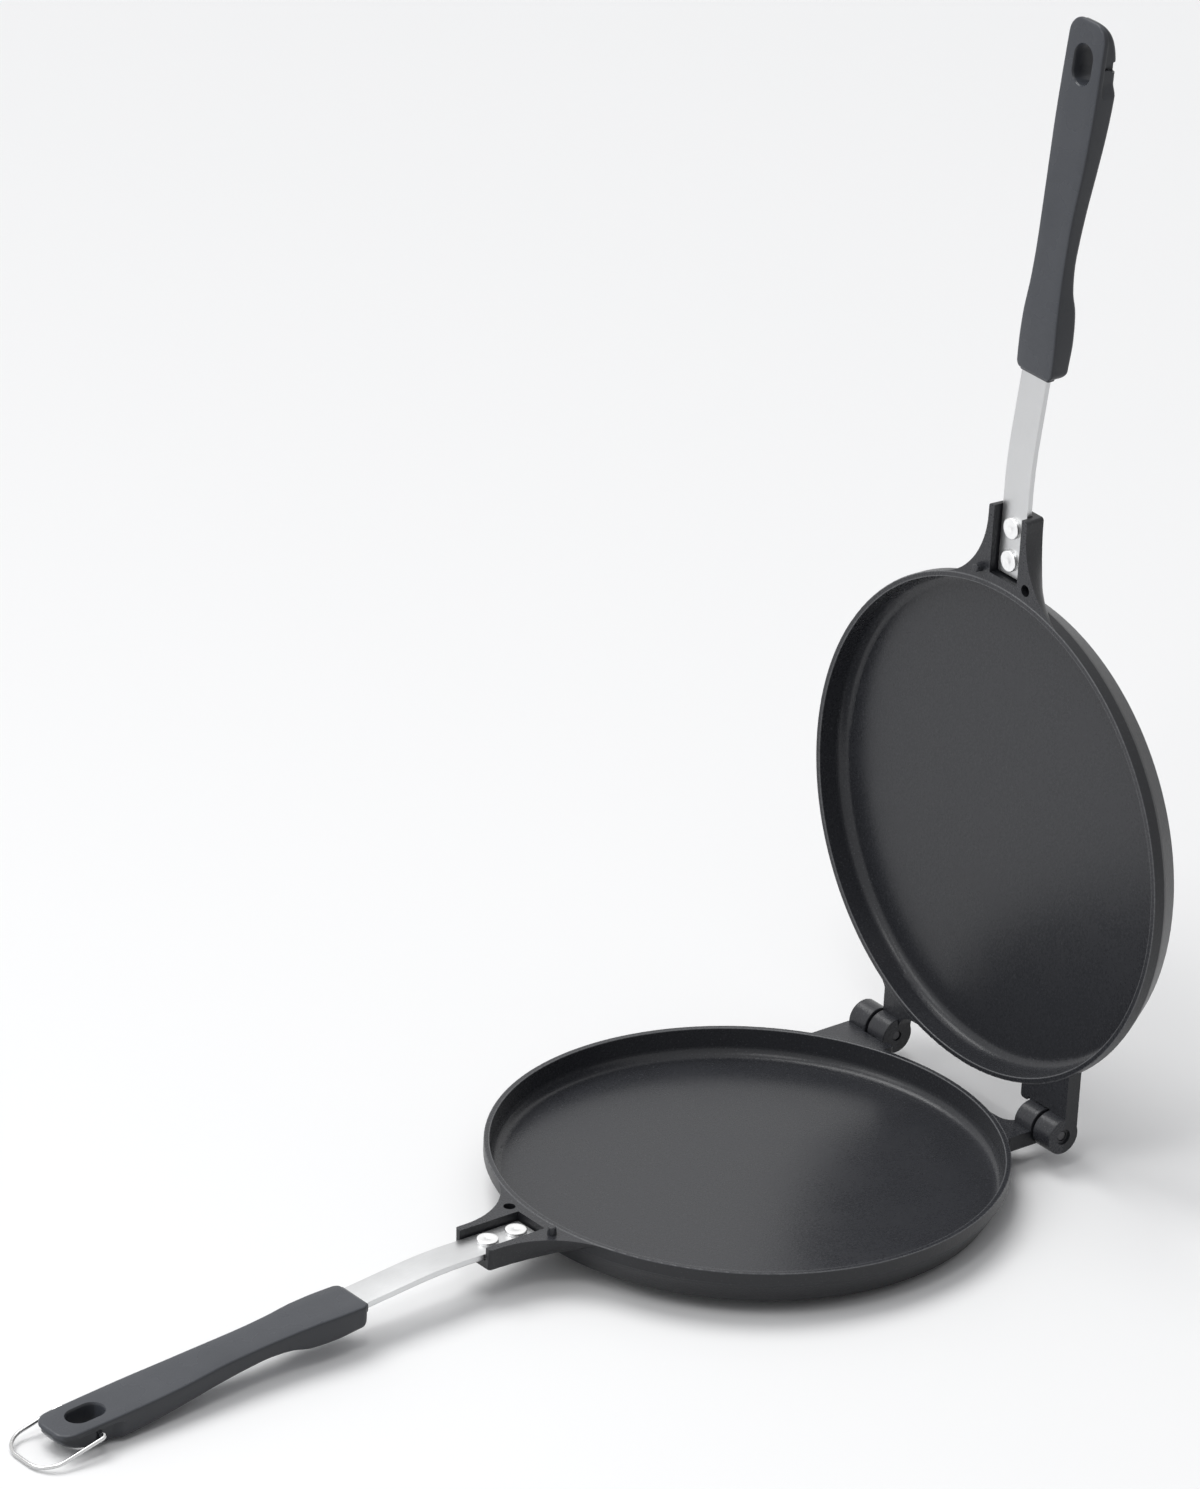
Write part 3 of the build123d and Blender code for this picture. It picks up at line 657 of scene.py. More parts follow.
@dataclass(frozen=True)
class CoatingFinish:
    """Charcoal non-stick coating: satin, speckled, thinner along the edges, where it is also lightened
    as a painted highlight.

    Places are in millimetres, in the pan's own frame, and the grain's height is
    in metres. The spans of the edges, the meeting face and the wall's foot are
    measured from those places.
    """

    name: str
    matrix: Matrix
    dark: Colour = (0.021, 0.022, 0.0255, 1.0)
    light: Colour = (0.037, 0.0385, 0.044, 1.0)
    fleck: Colour = (0.12, 0.125, 0.135, 1.0)
    # Edge colour: partly a thinner coat, partly a painted highlight.
    wear_and_highlight: Colour = (0.15, 0.153, 0.16, 1.0)
    # Outer wall colour: partly a coarser coat, partly painted shade.
    outer: Colour = (0.010, 0.0105, 0.012, 1.0)
    roughness: float = 0.28
    ior: float = 1.4
    grain_scale: float = 0.85
    fleck_scale: float = 0.55
    cloud_scale: float = 0.035
    fleck_span: Pair = (0.08, 0.24)
    grain_tone: float = 0.7
    cloud_tone: float = 0.3
    fleck_share: float = 0.4
    outer_coat_and_shade_share: float = 0.6
    wear_and_highlight_share: float = 0.25
    wear_and_highlight_grain: float = 0.8
    grain_rough: float = 0.16
    cloud_rough: float = 0.12
    outer_rough: float = 0.08
    bump_strength: float = 0.7
    grain_height: float = 0.00009
    plain_bump: float = 0.5
    rugged_bump: float = 0.7
    outer_bump: float = 0.9
    rim_r: float = 125.0
    land_r: float = 122.2
    meet_z: float = 18.6
    toward_rim_span: Pair = (104.0, 112.0)
    top_span: Pair = (-0.62, -0.18)
    outer_span: Pair = (-0.62, -0.2)
    beyond_span: Pair = (0.1, 0.4)
    inner_span: Pair = (0.3, 0.75)
    hidden_span: Pair = (-0.6, -0.3)
    face_span: Pair = (-0.7, -0.4)
    foot_span: Pair = (-0.1, 0.1)
    wall_foot: float = 117.0
    wall_slope: float = 0.6
    wall_knee: float = 11.5

    def edge_mask(self, radius: Wire, z: Wire) -> Wire:
        """Mask of the rim's two eased edges, which carry the painted highlight and wear.

        Args:
            radius: distance from the pan's middle.
            z: height above its underside.

        Returns:
            1 on the edges, 0 elsewhere.
        """
        high = z.past(self.meet_z, self.top_span)
        outer = radius.past(self.rim_r, self.outer_span)
        inner = 1.0 - radius.past(self.land_r, self.inner_span)
        hidden = radius.past(self.land_r, self.hidden_span)
        beyond = 1.0 - radius.past(self.rim_r, self.beyond_span)
        return high * (outer * beyond).most(inner * hidden)

    def outside_coat_and_shade_mask(self, radius: Wire, z: Wire) -> Wire:
        """Mask of the outer wall, which is coarser, and darkened with painted shade.

        Args:
            radius: distance from the pan's middle.
            z: height above its underside.

        Returns:
            1 outside the wall, 0 inside and on the meeting face.
        """
        rise = self.wall_knee - (self.wall_knee - z).most(0.0)
        foot = radius - rise * self.wall_slope
        face = z.past(self.meet_z, self.face_span)
        return foot.past(self.wall_foot, self.foot_span) * (1.0 - face)

    def material(self) -> bpy.types.Material:
        """Build the coating's material.

        Returns:
            The material.
        """
        recipe = Recipe(self.name)
        where = recipe.place(self.matrix)
        x, y, z = recipe.parts(where)
        radius = (x * x + y * y).root()
        grain = recipe.noise(where, self.grain_scale, detail=2.0, rough=0.6)
        cloud = recipe.noise(where, self.cloud_scale, detail=3.0)
        flecks = 1.0 - recipe.cells(where, self.fleck_scale).between(*self.fleck_span)
        toward_rim = radius.between(*self.toward_rim_span)
        outside = self.outside_coat_and_shade_mask(radius, z)
        # Painted highlight and wear: the rim's eased edges are lightened, partly for a thinner coat,
        # partly for the highlight they catch.
        wear_and_highlight = self.edge_mask(radius, z) * (grain * self.wear_and_highlight_grain + self.wear_and_highlight_share)
        shade = grain * self.grain_tone + cloud * self.cloud_tone
        tone = recipe.mix(shade, self.dark, self.light)
        # The flecks are the coat's own speckling; their share doubles towards the walls and rim as a
        # painted sparkle.
        speckle_and_sparkle = toward_rim * self.fleck_share + self.fleck_share
        tone = recipe.mix(flecks * grain * speckle_and_sparkle, tone, self.fleck)
        # Painted shade: the outer wall is darkened on top of its coarser coat.
        tone = recipe.mix(outside * self.outer_coat_and_shade_share, tone, self.outer)
        tone = recipe.mix(wear_and_highlight, tone, self.wear_and_highlight)
        rough = (cloud - 0.5) * self.cloud_rough + (grain - 0.5) * self.grain_rough
        rough = rough + outside * self.outer_rough + self.roughness
        coarse = toward_rim * self.rugged_bump + outside * self.outer_bump + self.plain_bump
        normal = recipe.bump(grain * coarse, self.bump_strength, self.grain_height)
        return recipe.surface(Base_Color=tone, Roughness=rough, Normal=normal, IOR=self.ior)


@dataclass(frozen=True)
class BrushedFinish:
    """Satin steel strip with fine lines along its length."""

    name: str
    matrix: Matrix
    tone: Colour = (0.80, 0.80, 0.79, 1.0)
    dull: Colour = (0.58, 0.585, 0.59, 1.0)
    roughness: float = 0.34
    stretch: Point = (0.02, 1.0, 1.0)
    line_scale: float = 2.6
    cloud_scale: float = 0.06
    line_tone: float = 0.6
    cloud_tone: float = 0.4
    line_rough: float = 0.18
    cloud_rough: float = 0.1
    bump_strength: float = 0.35
    line_height: float = 0.000012

    def material(self) -> bpy.types.Material:
        """Build the brushed steel's material.

        Returns:
            The material.
        """
        recipe = Recipe(self.name)
        where = recipe.place(self.matrix)
        along = recipe.stretched(where, self.stretch)
        lines = recipe.noise(along, self.line_scale, detail=3.0, rough=0.6)
        cloud = recipe.noise(where, self.cloud_scale)
        shade = lines * self.line_tone + cloud * self.cloud_tone
        tone = recipe.mix(shade, self.dull, self.tone)
        spread = (lines - 0.5) * self.line_rough + (cloud - 0.5) * self.cloud_rough
        rough = spread + self.roughness
        normal = recipe.bump(lines, self.bump_strength, self.line_height)
        return recipe.surface(Base_Color=tone, Roughness=rough, Normal=normal, Metallic=1.0)


@dataclass(frozen=True)
class MouldedFinish:
    """Blue-grey moulded plastic, glossier on top, duller on the flanks, and darker there in painted
    shade.
    """

    name: str
    matrix: Matrix
    dark: Colour = (0.040, 0.044, 0.052, 1.0)
    light: Colour = (0.072, 0.077, 0.088, 1.0)
    # Flank colour: painted shade for the sideways faces.
    flank: Colour = (0.017, 0.018, 0.021, 1.0)
    roughness: float = 0.27
    ior: float = 1.4
    grain_scale: float = 1.5
    cloud_scale: float = 0.05
    grain_tone: float = 0.5
    cloud_tone: float = 0.5
    flank_shade_span: Pair = (0.25, 0.60)
    flank_shade_share: float = 0.66
    cloud_rough: float = 0.14
    side_rough: float = 0.10
    bump_strength: float = 0.25
    grain_height: float = 0.00006

    def material(self) -> bpy.types.Material:
        """Build the moulded plastic's material.

        Returns:
            The material.
        """
        recipe = Recipe(self.name)
        where = recipe.place(self.matrix)
        grain = recipe.noise(where, self.grain_scale, rough=0.55)
        cloud = recipe.noise(where, self.cloud_scale, detail=3.0)
        shade = grain * self.grain_tone + cloud * self.cloud_tone
        tone = recipe.mix(shade, self.dark, self.light)
        # Painted shade: faces that look sideways are darkened towards the flank colour.
        facing = recipe.parts(recipe.add("ShaderNodeTexCoord", out="Normal"))[1]
        side = (facing * facing).between(*self.flank_shade_span)
        tone = recipe.mix(side * self.flank_shade_share, tone, self.flank)
        rough = (cloud - 0.5) * self.cloud_rough + side * self.side_rough + self.roughness
        normal = recipe.bump(grain, self.bump_strength, self.grain_height)
        return recipe.surface(Base_Color=tone, Roughness=rough, Normal=normal, IOR=self.ior)


@dataclass(frozen=True)
class PolishedFinish:
    """Bright or dark metal with faint handling marks."""

    name: str
    tone: Colour
    shade: Colour
    roughness: float
    metallic: float = 1.0
    mark_scale: float = 900.0
    mark_rough: float = 0.12
    bump_strength: float = 0.25
    mark_height: float = 0.00003

    def material(self) -> bpy.types.Material:
        """Build the polished metal's material.

        Returns:
            The material.
        """
        recipe = Recipe(self.name)
        marks = recipe.noise(recipe.place(), self.mark_scale, detail=3.0, rough=0.65)
        tone = recipe.mix(marks, self.shade, self.tone)
        rough = (marks - 0.5) * self.mark_rough + self.roughness
        normal = recipe.bump(marks, self.bump_strength, self.mark_height)
        metallic = self.metallic
        return recipe.surface(Base_Color=tone, Roughness=rough, Normal=normal, Metallic=metallic)


def grey(level: float) -> Colour:
    """Neutral opaque colour of a level from 0 to 1."""
    return level, level, level, 1.0


def dress(node: str, material: bpy.types.Material) -> None:
    """Give a CAD node its finish.

    Args:
        node: the CAD node's name.
        material: the finish.
    """
    obj = frame["nodes"][node]
    if not obj.data.materials:
        obj.data.materials.append(material)
    for index in range(len(obj.data.materials)):
        obj.data.materials[index] = material
    LOG.info("dressed %s with %s", node, material.name)


@dataclass
class Casting:
    """One pan casting, carried over from the CAD with its coating."""

    half: Half
    matrix: Matrix

    def build(self) -> None:
        """Dress the casting."""
        finish = CoatingFinish(f"coating_{self.half.value}", self.matrix)
        dress(self.half.node("pan"), finish.material())


@dataclass
class Tang:
    """Steel strip and its two rivets, drawn in the pan's own frame.

    The dimple's steps are shares of its radius and depth.
    """

    half: Half
    matrix: Matrix
    inner_x: float = -130.6
    tail_x: float = -330.0
    bend_x: float = -188.0
    bend_r: float = 260.0
    drop: float = math.radians(6.6)
    floor_z: float = 11.3
    flat_runs: int = 7
    bow_runs: int = 12
    tail_runs: int = 24
    width: float = 18.0
    thickness: float = 3.0
    edge_r: float = 0.5
    neck_x: float = -240.0
    neck_length: float = 6.0
    tail_share: float = 6.5 / 9.0
    rivet_x: float = -155.2
    rivet_pitch: float = 16.7
    head_r: float = 5.35
    head_h: float = 2.1
    head_edge: float = 0.12
    crown_r: float = 0.6
    dimple_r: float = 1.6
    dimple_depth: float = 0.25
    dimple_steps: tuple[Pair, ...] = ((0.62, 1.0), (0.85, 0.4))
    shank_r: float = 2.5
    under_z: float = 7.5
    tail_r: float = 4.2
    tail_h: float = 1.5
    tail_round: float = 0.9
    round_steps: int = 6
    segments: int = 64

    def centre_line(self) -> list[Point]:
        """Points along the middle of the strip, from the pan to the tail.

        Returns:
            The points.
        """
        middle_z = self.floor_z + self.thickness / 2
        radius = self.bend_r - self.thickness / 2
        start = self.bend_x + self.bend_r * math.tan(self.drop / 2)
        line = []
        for index in range(self.flat_runs):
            line.append((self.inner_x + (start - self.inner_x) * index / self.flat_runs, middle_z))
        bow_end = 90 + math.degrees(self.drop)
        line += arc((start, middle_z - radius), radius, 90, bow_end, self.bow_runs)
        last_x, last_z = line[-1]
        length = start - self.bend_r * math.sin(self.drop) - self.tail_x
        for index in range(self.tail_runs):
            run = length * (index + 1) / self.tail_runs
            line.append((last_x - run, last_z - run * math.tan(self.drop)))
        return [(x, 0.0, z) for x, z in line]

    def strap(self, rule: SweptStrap, finish: bpy.types.Material) -> None:
        """Build the strip.

        Args:
            rule: the strap rule.
            finish: its material.
        """
        values = {
            "Width": self.width,
            "Thickness": self.thickness,
            "Edge Radius": self.edge_r,
            "Neck X": self.neck_x,
            "Neck Length": self.neck_length,
            "Tail Share": self.tail_share,
            "Finish": finish,
        }
        mesh = rule.make(chain_mesh(self.centre_line()), values)
        name = self.half.node("tang_strip")
        settle(name, mesh, self.matrix, self.half.body, [self.half.node("tang")])

    def rivet_profile(self) -> list[Point]:
        """Half profile of a rivet, from the middle of its head to its tail.

        Returns:
            The profile's points.
        """
        top = self.head_h
        under = self.under_z - self.floor_z - self.thickness
        outline = [(0.0, top - self.dimple_depth)]
        for out, depth in self.dimple_steps:
            outline.append((self.dimple_r * out, top - self.dimple_depth * depth))
        outline.append((self.dimple_r, top))
        crown = (self.head_r - self.crown_r, top - self.crown_r)
        outline += arc(crown, self.crown_r, 90, 0, self.round_steps)
        outline += [(self.head_r, self.head_edge), (self.head_r - self.head_edge, 0.0)]
        outline += [(self.shank_r, 0.0), (self.shank_r, under), (self.tail_r, under)]
        tail = (self.tail_r - self.tail_round, under - self.tail_h + self.tail_round)
        outline += arc(tail, self.tail_round, 0, -90, self.round_steps)
        outline.append((0.0, under - self.tail_h))
        return [(radius, 0.0, height) for radius, height in outline]

    def rivets(self, rule: TurnedRow, finish: bpy.types.Material) -> None:
        """Build the two rivets.

        Args:
            rule: the turned row rule.
            finish: their material.
        """
        spacing = (self.rivet_pitch, 0.0, 0.0)
        values = {"Segments": self.segments, "Count": 2, "Spacing": spacing, "Finish": finish}
        mesh = rule.make(chain_mesh(self.rivet_profile()), values)
        seat = Matrix.Translation((self.rivet_x, 0.0, self.floor_z + self.thickness))
        name = self.half.node("rivet_pair")
        settle(name, mesh, self.matrix @ seat, self.half.body, [self.half.node("rivets")])


def prism(rings: Sequence[Sequence[Point]]) -> bpy.types.Mesh:
    """Closed mesh through rings of equally many points.

    Args:
        rings: the rings in order, each one a closed outline.

    Returns:
        The mesh, with both ends filled.
    """
    work = bmesh.new()
    rows = [[work.verts.new(point) for point in ring] for ring in rings]
    count = len(rows[0])
    for near, far in zip(rows, rows[1:]):
        for index in range(count):
            after = (index + 1) % count
            work.faces.new((near[index], near[after], far[after], far[index]))
    work.faces.new(rows[0])
    work.faces.new(list(reversed(rows[-1])))
    bmesh.ops.recalc_face_normals(work, faces=work.faces)
    mesh = bpy.data.meshes.new("prism")
    work.to_mesh(mesh)
    work.free()
    return mesh


def carve(body: bpy.types.Mesh, tools: Sequence[bpy.types.Mesh]) -> bpy.types.Mesh:
    """Take the tools out of a body.

    Args:
        body: the closed mesh that is cut.
        tools: closed meshes to take away.

    Returns:
        What is left.
    """
    obj = put("carved", body)
    cutters = []
    for tool in tools:
        cutter = put("cutter", tool)
        modifier = obj.modifiers.new("cut", "BOOLEAN")
        modifier.operation = "DIFFERENCE"
        modifier.solver = "EXACT"
        modifier.object = cutter
        cutters.append(cutter)
    graph = bpy.context.evaluated_depsgraph_get()
    mesh = bpy.data.meshes.new_from_object(obj.evaluated_get(graph))
    obj.modifiers.clear()
    for item in [obj, *cutters]:
        bpy.data.objects.remove(item)
    return mesh


@dataclass
class Grip:
    """Moulded handle, drawn in the pan's own frame, and its screw.

    The stations run from the pan end: distance, half width, top and underside.
    Even rows of sections have a first distance, a step and a count. A name that
    starts with most is the largest share of the section that a round, lip or
    hollow takes up. A step of the ledge or of a seat's mouth is an offset
    outwards and one upwards. A slot's ring has a height, a growth and the share
    of the slope that it follows. A collar's ring has a distance towards the pan
    and how far its outline is drawn in.
    """

    half: Half
    matrix: Matrix
    start_x: float = -233.0
    length: float = 174.0
    stations: tuple[tuple[float, float, float, float], ...] = (
        (0.0, 12.7, 10.1, -2.0),
        (8.0, 12.9, 9.8, -3.0),
        (17.0, 12.9, 9.4, -4.2),
        (28.0, 12.35, 8.8, -4.9),
        (34.5, 11.9, 8.1, -4.7),
        (42.0, 11.3, 7.2, -3.4),
        (55.0, 10.85, 5.8, -3.5),
        (67.0, 10.85, 4.6, -5.1),
        (83.0, 11.3, 2.9, -7.7),
        (102.0, 12.4, 0.4, -11.0),
        (122.0, 13.1, -1.8, -14.6),
        (141.0, 13.2, -3.8, -17.3),
        (157.0, 13.0, -5.4, -18.2),
        (174.0, 12.7, -7.1, -18.4),
    )
    first_places: tuple[float, ...] = (0.0, 0.2, 0.5, 0.9, 1.4, 2.0, 2.7, 3.4, 4.4, 6.0)
    coarse_row: tuple[float, float, int] = (8.0, 2.4, 54)
    fine_row: tuple[float, float, int] = (137.0, 1.2, 24)
    places_left: tuple[float, ...] = (
        8.6, 7.6, 6.6, 5.6, 4.6, 3.7, 2.9, 2.2, 1.6, 1.1, 0.7, 0.4, 0.18, 0.04
    )
    end_round: float = 3.4
    foot_round: float = 3.6
    tip_round: float = 8.6
    top_end_round: float = 0.8
    top_tip_round: float = 1.6
    nose_length: float = 19.0
    nose_rise: float = 8.6
    nose_slant: float = 1.2
    top_r: float = 1.3
    top_steps: int = 5
    under_r: float = 2.6
    under_steps: int = 6
    crown: float = 0.9
    most_width: float = 0.4
    most_inset: float = 0.3
    most_top: float = 0.2
    most_lip: float = 0.42
    most_under: float = 0.28
    most_crown: float = 0.1
    crown_bow: float = 0.3
    lip: float = 3.6
    lip_fall: float = 0.9
    ledge_edge: tuple[Pair, ...] = ((0.0, 0.35), (-0.12, 0.1))
    ledge_root: tuple[Pair, ...] = ((0.06, -0.1), (0.0, -0.4))
    scoop: float = 2.3
    scoop_from: float = 139.0
    scoop_to: float = 145.0
    slot_back: float = 21.4
    slot_length: float = 19.2
    slot_width: float = 12.0
    slot_steps: int = 20
    slot_rings: tuple[Point, ...] = (
        (-45.0, 0.0, 0.0),
        (-1.25, 0.0, 1.0),
        (-0.45, 0.35, 1.0),
        (0.05, 0.75, 1.0),
        (4.0, 1.75, 1.0),
    )
    slope: float = 0.1
    seat: Pair = (-386.0, -9.0)
    seat_r: float = 1.12
    seat_turn: Pair = (-40.0, 220.0)
    seat_steps: int = 14
    mouth: tuple[Pair, ...] = ((0.85, -3.0), (1.3, -4.0), (2.6, -5.6), (3.0, -14.0))
    wall_y: float = 7.6
    clear_y: float = 24.0
    screw_x: float = -318.0
    screw_r: float = 3.75
    screw_floor: float = -5.2
    screw_clear: float = -30.0
    screw_sides: int = 36
    collar_rings: tuple[Pair, ...] = ((-3.0, 0.0), (0.5, 0.0), (0.8, 0.12), (0.9, 0.4))
    collar_r: float = 1.0
    collar_steps: int = 4
    collar_half: float = 10.3
    collar_low: float = 4.9
    collar_high: float = 9.5

    def station(self, along: float) -> tuple[float, float, float]:
        """Half width, top and underside at a distance, on a smooth curve.

        Args:
            along: distance from the pan end.

        Returns:
            The three values.
        """
        rows = self.stations
        index = max(i for i in range(len(rows) - 1) if rows[i][0] <= along)
        first, second = rows[index], rows[index + 1]
        before, beyond = rows[max(index - 1, 0)], rows[min(index + 2, len(rows) - 1)]
        run = second[0] - first[0]
        t = (along - first[0]) / run
        values = []
        for column in (1, 2, 3):
            rate_a = (second[column] - before[column]) / (second[0] - before[0])
            rate_b = (beyond[column] - first[column]) / (beyond[0] - first[0])
            values.append(
                (2 * t**3 - 3 * t**2 + 1) * first[column]
                + (t**3 - 2 * t**2 + t) * run * rate_a
                + (3 * t**2 - 2 * t**3) * second[column]
                + (t**3 - t**2) * run * rate_b
            )
        return values[0], values[1], values[2]

    def shape(self, along: float) -> tuple[float, float, float, float]:
        """Section sizes with both ends rounded off.

        Args:
            along: distance from the pan end.

        Returns:
            Half width, top, underside, and how far the side is set in.
        """

        def fall(depth: float, radius: float) -> float:
            """Drop of a quarter round at a depth from its end."""
            gap = max(radius - depth, 0.0)
            return radius - math.sqrt(max(radius**2 - gap**2, 0.0))

        half, top, under = self.station(along)
        left = self.length - along
        half -= fall(along, self.end_round) + fall(left, self.tip_round)
        top -= fall(along, self.top_end_round) + fall(left, self.top_tip_round)
        under += fall(along, self.foot_round)
        nose = max(1.0 - left / self.nose_length, 0.0)
        under += self.nose_rise * (1.0 - math.sqrt(1.0 - nose**2)) + self.nose_slant * nose
        return half, top, under, self.scoop * self.scooped(along)

    def scooped(self, along: float) -> float:
        """How far the flank's hollow has come in, from 0 to 1.

        Args:
            along: distance from the pan end.

        Returns:
            The share.
        """
        share = (along - self.scoop_from) / (self.scoop_to - self.scoop_from)
        share = min(max(share, 0.0), 1.0)
        return share * share * (3 - 2 * share)

    def section(self, along: float) -> list[Point]:
        """Closed outline across the handle, whose rounds shrink with its size.

        Args:
            along: distance from the pan end.

        Returns:
            The outline's points.
        """
        half, top, under, inset = self.shape(along)
        tall = top - under
        top_r = min(self.top_r, half * self.most_width, tall * self.most_top)
        lip = min(self.lip - self.lip_fall * self.scooped(along), tall * self.most_lip)
        low_half = half - min(inset, half * self.most_inset)
        under_r = min(self.under_r, low_half * self.most_width, tall * self.most_under)
        crown = min(self.crown, tall * self.most_crown)
        base = under + crown
        side = [(0.0, top), ((half - top_r) / 2, top)]
        side += arc((half - top_r, top - top_r), top_r, 90, 0, self.top_steps)
        edge = (half - low_half) / self.scoop
        side += [(half + out * edge, top - lip + up) for out, up in self.ledge_edge]
        side += [(low_half + out * edge, top - lip + up) for out, up in self.ledge_root]
        side += arc((low_half - under_r, base + under_r), under_r, 0, -90, self.under_steps)
        side += [(low_half / 2, under + crown * self.crown_bow), (0.0, under)]
        x = self.start_x - along
        return [(x, y, z) for y, z in side] + [(x, -y, z) for y, z in reversed(side[1:-1])]

    def body(self) -> bpy.types.Mesh:
        """The handle before its openings are cut.

        Returns:
            The closed mesh.
        """
        places = [*self.first_places, *(self.length - left for left in self.places_left)]
        for first, step, count in (self.coarse_row, self.fine_row):
            places += [first + step * index for index in range(count)]
        kept = [along for along in sorted(set(places)) if along <= self.length]
        return prism([self.section(along) for along in kept])

    def slot_tool(self) -> bpy.types.Mesh:
        """Cutter for the hanging slot and its eased lip.

        Returns:
            The cutter.
        """
        middle = self.start_x - self.length + self.slot_back
        top = self.station(self.length - self.slot_back)[1]
        reach = (self.slot_length - self.slot_width) / 2
        rings = []
        for up, growth, tilt in self.slot_rings:
            radius = self.slot_width / 2 + growth
            ring = arc((reach, 0.0), radius, -90, 90, self.slot_steps)
            ring += arc((-reach, 0.0), radius, 90, 270, self.slot_steps)
            rings.append([(middle + x, y, top + up + tilt * self.slope * x) for x, y in ring])
        return prism(rings)

    def seat_tool(self, side: int) -> bpy.types.Mesh:
        """Cutter for one seat of the wire loop, open to the underside.

        Args:
            side: 1 or -1.

        Returns:
            The cutter.
        """
        x0, z0 = self.seat
        outline = arc(self.seat, self.seat_r, *self.seat_turn, self.seat_steps)
        outline += [(x0 - out, z0 + up) for out, up in self.mouth]
        outline += [(x0 + out, z0 + up) for out, up in reversed(self.mouth)]
        ends = (self.wall_y, self.clear_y)
        return prism([[(x, side * y, z) for x, z in outline] for y in ends])

    def screw_tool(self) -> bpy.types.Mesh:
        """Cutter for the screw's recess in the underside.

        Returns:
            The cutter.
        """
        runs = self.screw_sides - 1
        ring = arc((0.0, 0.0), self.screw_r, 0, 360 * runs / self.screw_sides, runs)
        ends = (self.screw_floor, self.screw_clear)
        return prism([[(self.screw_x + x, y, z) for x, y in ring] for z in ends])

    def collar(self) -> bpy.types.Mesh:
        """Low frame round the strip where it enters the handle.

        Returns:
            The closed mesh.
        """
        rings = []
        for out, draw in self.collar_rings:
            half = self.collar_half - draw - self.collar_r
            low = self.collar_low + draw + self.collar_r
            high = self.collar_high - draw - self.collar_r
            ring = []
            for turn, centre in enumerate(((half, high), (-half, high), (-half, low), (half, low))):
                first = 90 * turn
                ring += arc(centre, self.collar_r, first, first + 90, self.collar_steps)
            rings.append([(self.start_x + out, y, z) for y, z in ring])
        return prism(rings)

    def build(self, screw: bpy.types.Material) -> None:
        """Build the handle and dress its screw.

        Args:
            screw: the screw's finish.
        """
        tools = [self.slot_tool(), self.seat_tool(1), self.seat_tool(-1), self.screw_tool()]
        mesh = carve(self.body(), tools)
        work = bmesh.new()
        work.from_mesh(mesh)
        work.from_mesh(self.collar())
        work.to_mesh(mesh)
        work.free()
        mesh.materials.clear()
        mesh.materials.append(MouldedFinish(f"plastic_{self.half.value}", self.matrix).material())
        name = self.half.node("moulded_grip")
        settle(name, mesh, self.matrix, self.half.body, [self.half.node("handle")])
        dress(self.half.node("handle_screw"), screw)


@dataclass
class HingePins:
    """The two pins that join the castings.

    The dome's step is a share of the end's radius and of the dome's height.
    """

    matrix: Matrix
    hinge_x: float = 132.0
    meet_z: float = 18.6
    radius: float = 2.5
    inner_y: float = 49.9
    outer_y: float = 73.9
    chamfer: float = 0.35
    dome: float = 0.12
    dome_step: Pair = (0.6, 0.35)
    segments: int = 48

    def profile(self) -> list[Point]:
        """Half profile of one pin, end to end.

        Returns:
            The profile's points.
        """
        half = (self.outer_y - self.inner_y) / 2
        rim = self.radius - self.chamfer
        out, down = self.dome_step
        upper = [(0.0, half), (rim * out, half - self.dome * down), (rim, half - self.dome)]
        upper += [(self.radius, half - self.dome - self.chamfer), (self.radius, 0.0)]
        lower = [(r, -z) for r, z in reversed(upper[:-1])]
        return [(r, 0.0, z) for r, z in upper + lower]

    def build(self, rule: TurnedRow, finish: bpy.types.Material) -> None:
        """Build both pins.

        Args:
            rule: the turned row rule.
            finish: their material.
        """
        middle = (self.inner_y + self.outer_y) / 2
        spacing = (0.0, 0.0, 2 * middle)
        values = {"Segments": self.segments, "Count": 2, "Spacing": spacing, "Finish": finish}
        mesh = rule.make(chain_mesh(self.profile()), values)
        seat = Matrix.Translation((self.hinge_x, -middle, self.meet_z))
        turn = Matrix.Rotation(-math.pi / 2, 4, "X")
        nodes = ["right_hinge_pin", "left_hinge_pin"]
        settle("hinge_pins", mesh, self.matrix @ seat @ turn, Half.LOWER.body, nodes)


@dataclass
class Bail:
    """The swinging wire loop at the lower handle's tip."""

    matrix: Matrix
    pivot: Point = (-386.0, 0.0, -9.0)
    sag: float = math.radians(-15.5)
    wire_r: float = 1.0
    inner_y: float = 7.0
    half: float = 17.35
    reach: float = 35.5
    shoulder_r: float = 2.4
    end_r: float = 12.5
    bend_steps: int = 14
    sides: int = 24

    def build(self, rule: BentWire, finish: bpy.types.Material) -> None:
        """Build the loop.

        Args:
            rule: the bent wire rule.
            finish: its material.
        """
        side = [(0.0, self.inner_y, 0.0), (0.0, self.half, 0.0), (-self.reach, self.half, 0.0)]
        points = side + [(x, -y, z) for x, y, z in reversed(side)]
        bends = [0.0, self.shoulder_r, self.end_r, self.end_r, self.shoulder_r, 0.0]
        values = {
            "Wire Radius": self.wire_r,
            "Bend Steps": self.bend_steps,
            "Sides": self.sides,
            "Finish": finish,
        }
        mesh = rule.make(chain_mesh(points, bends), values)
        seat = Matrix.Translation(self.pivot) @ Matrix.Rotation(self.sag, 4, "Y")
        settle("bail_loop", mesh, self.matrix @ seat, "bail", ["wire_bail"])


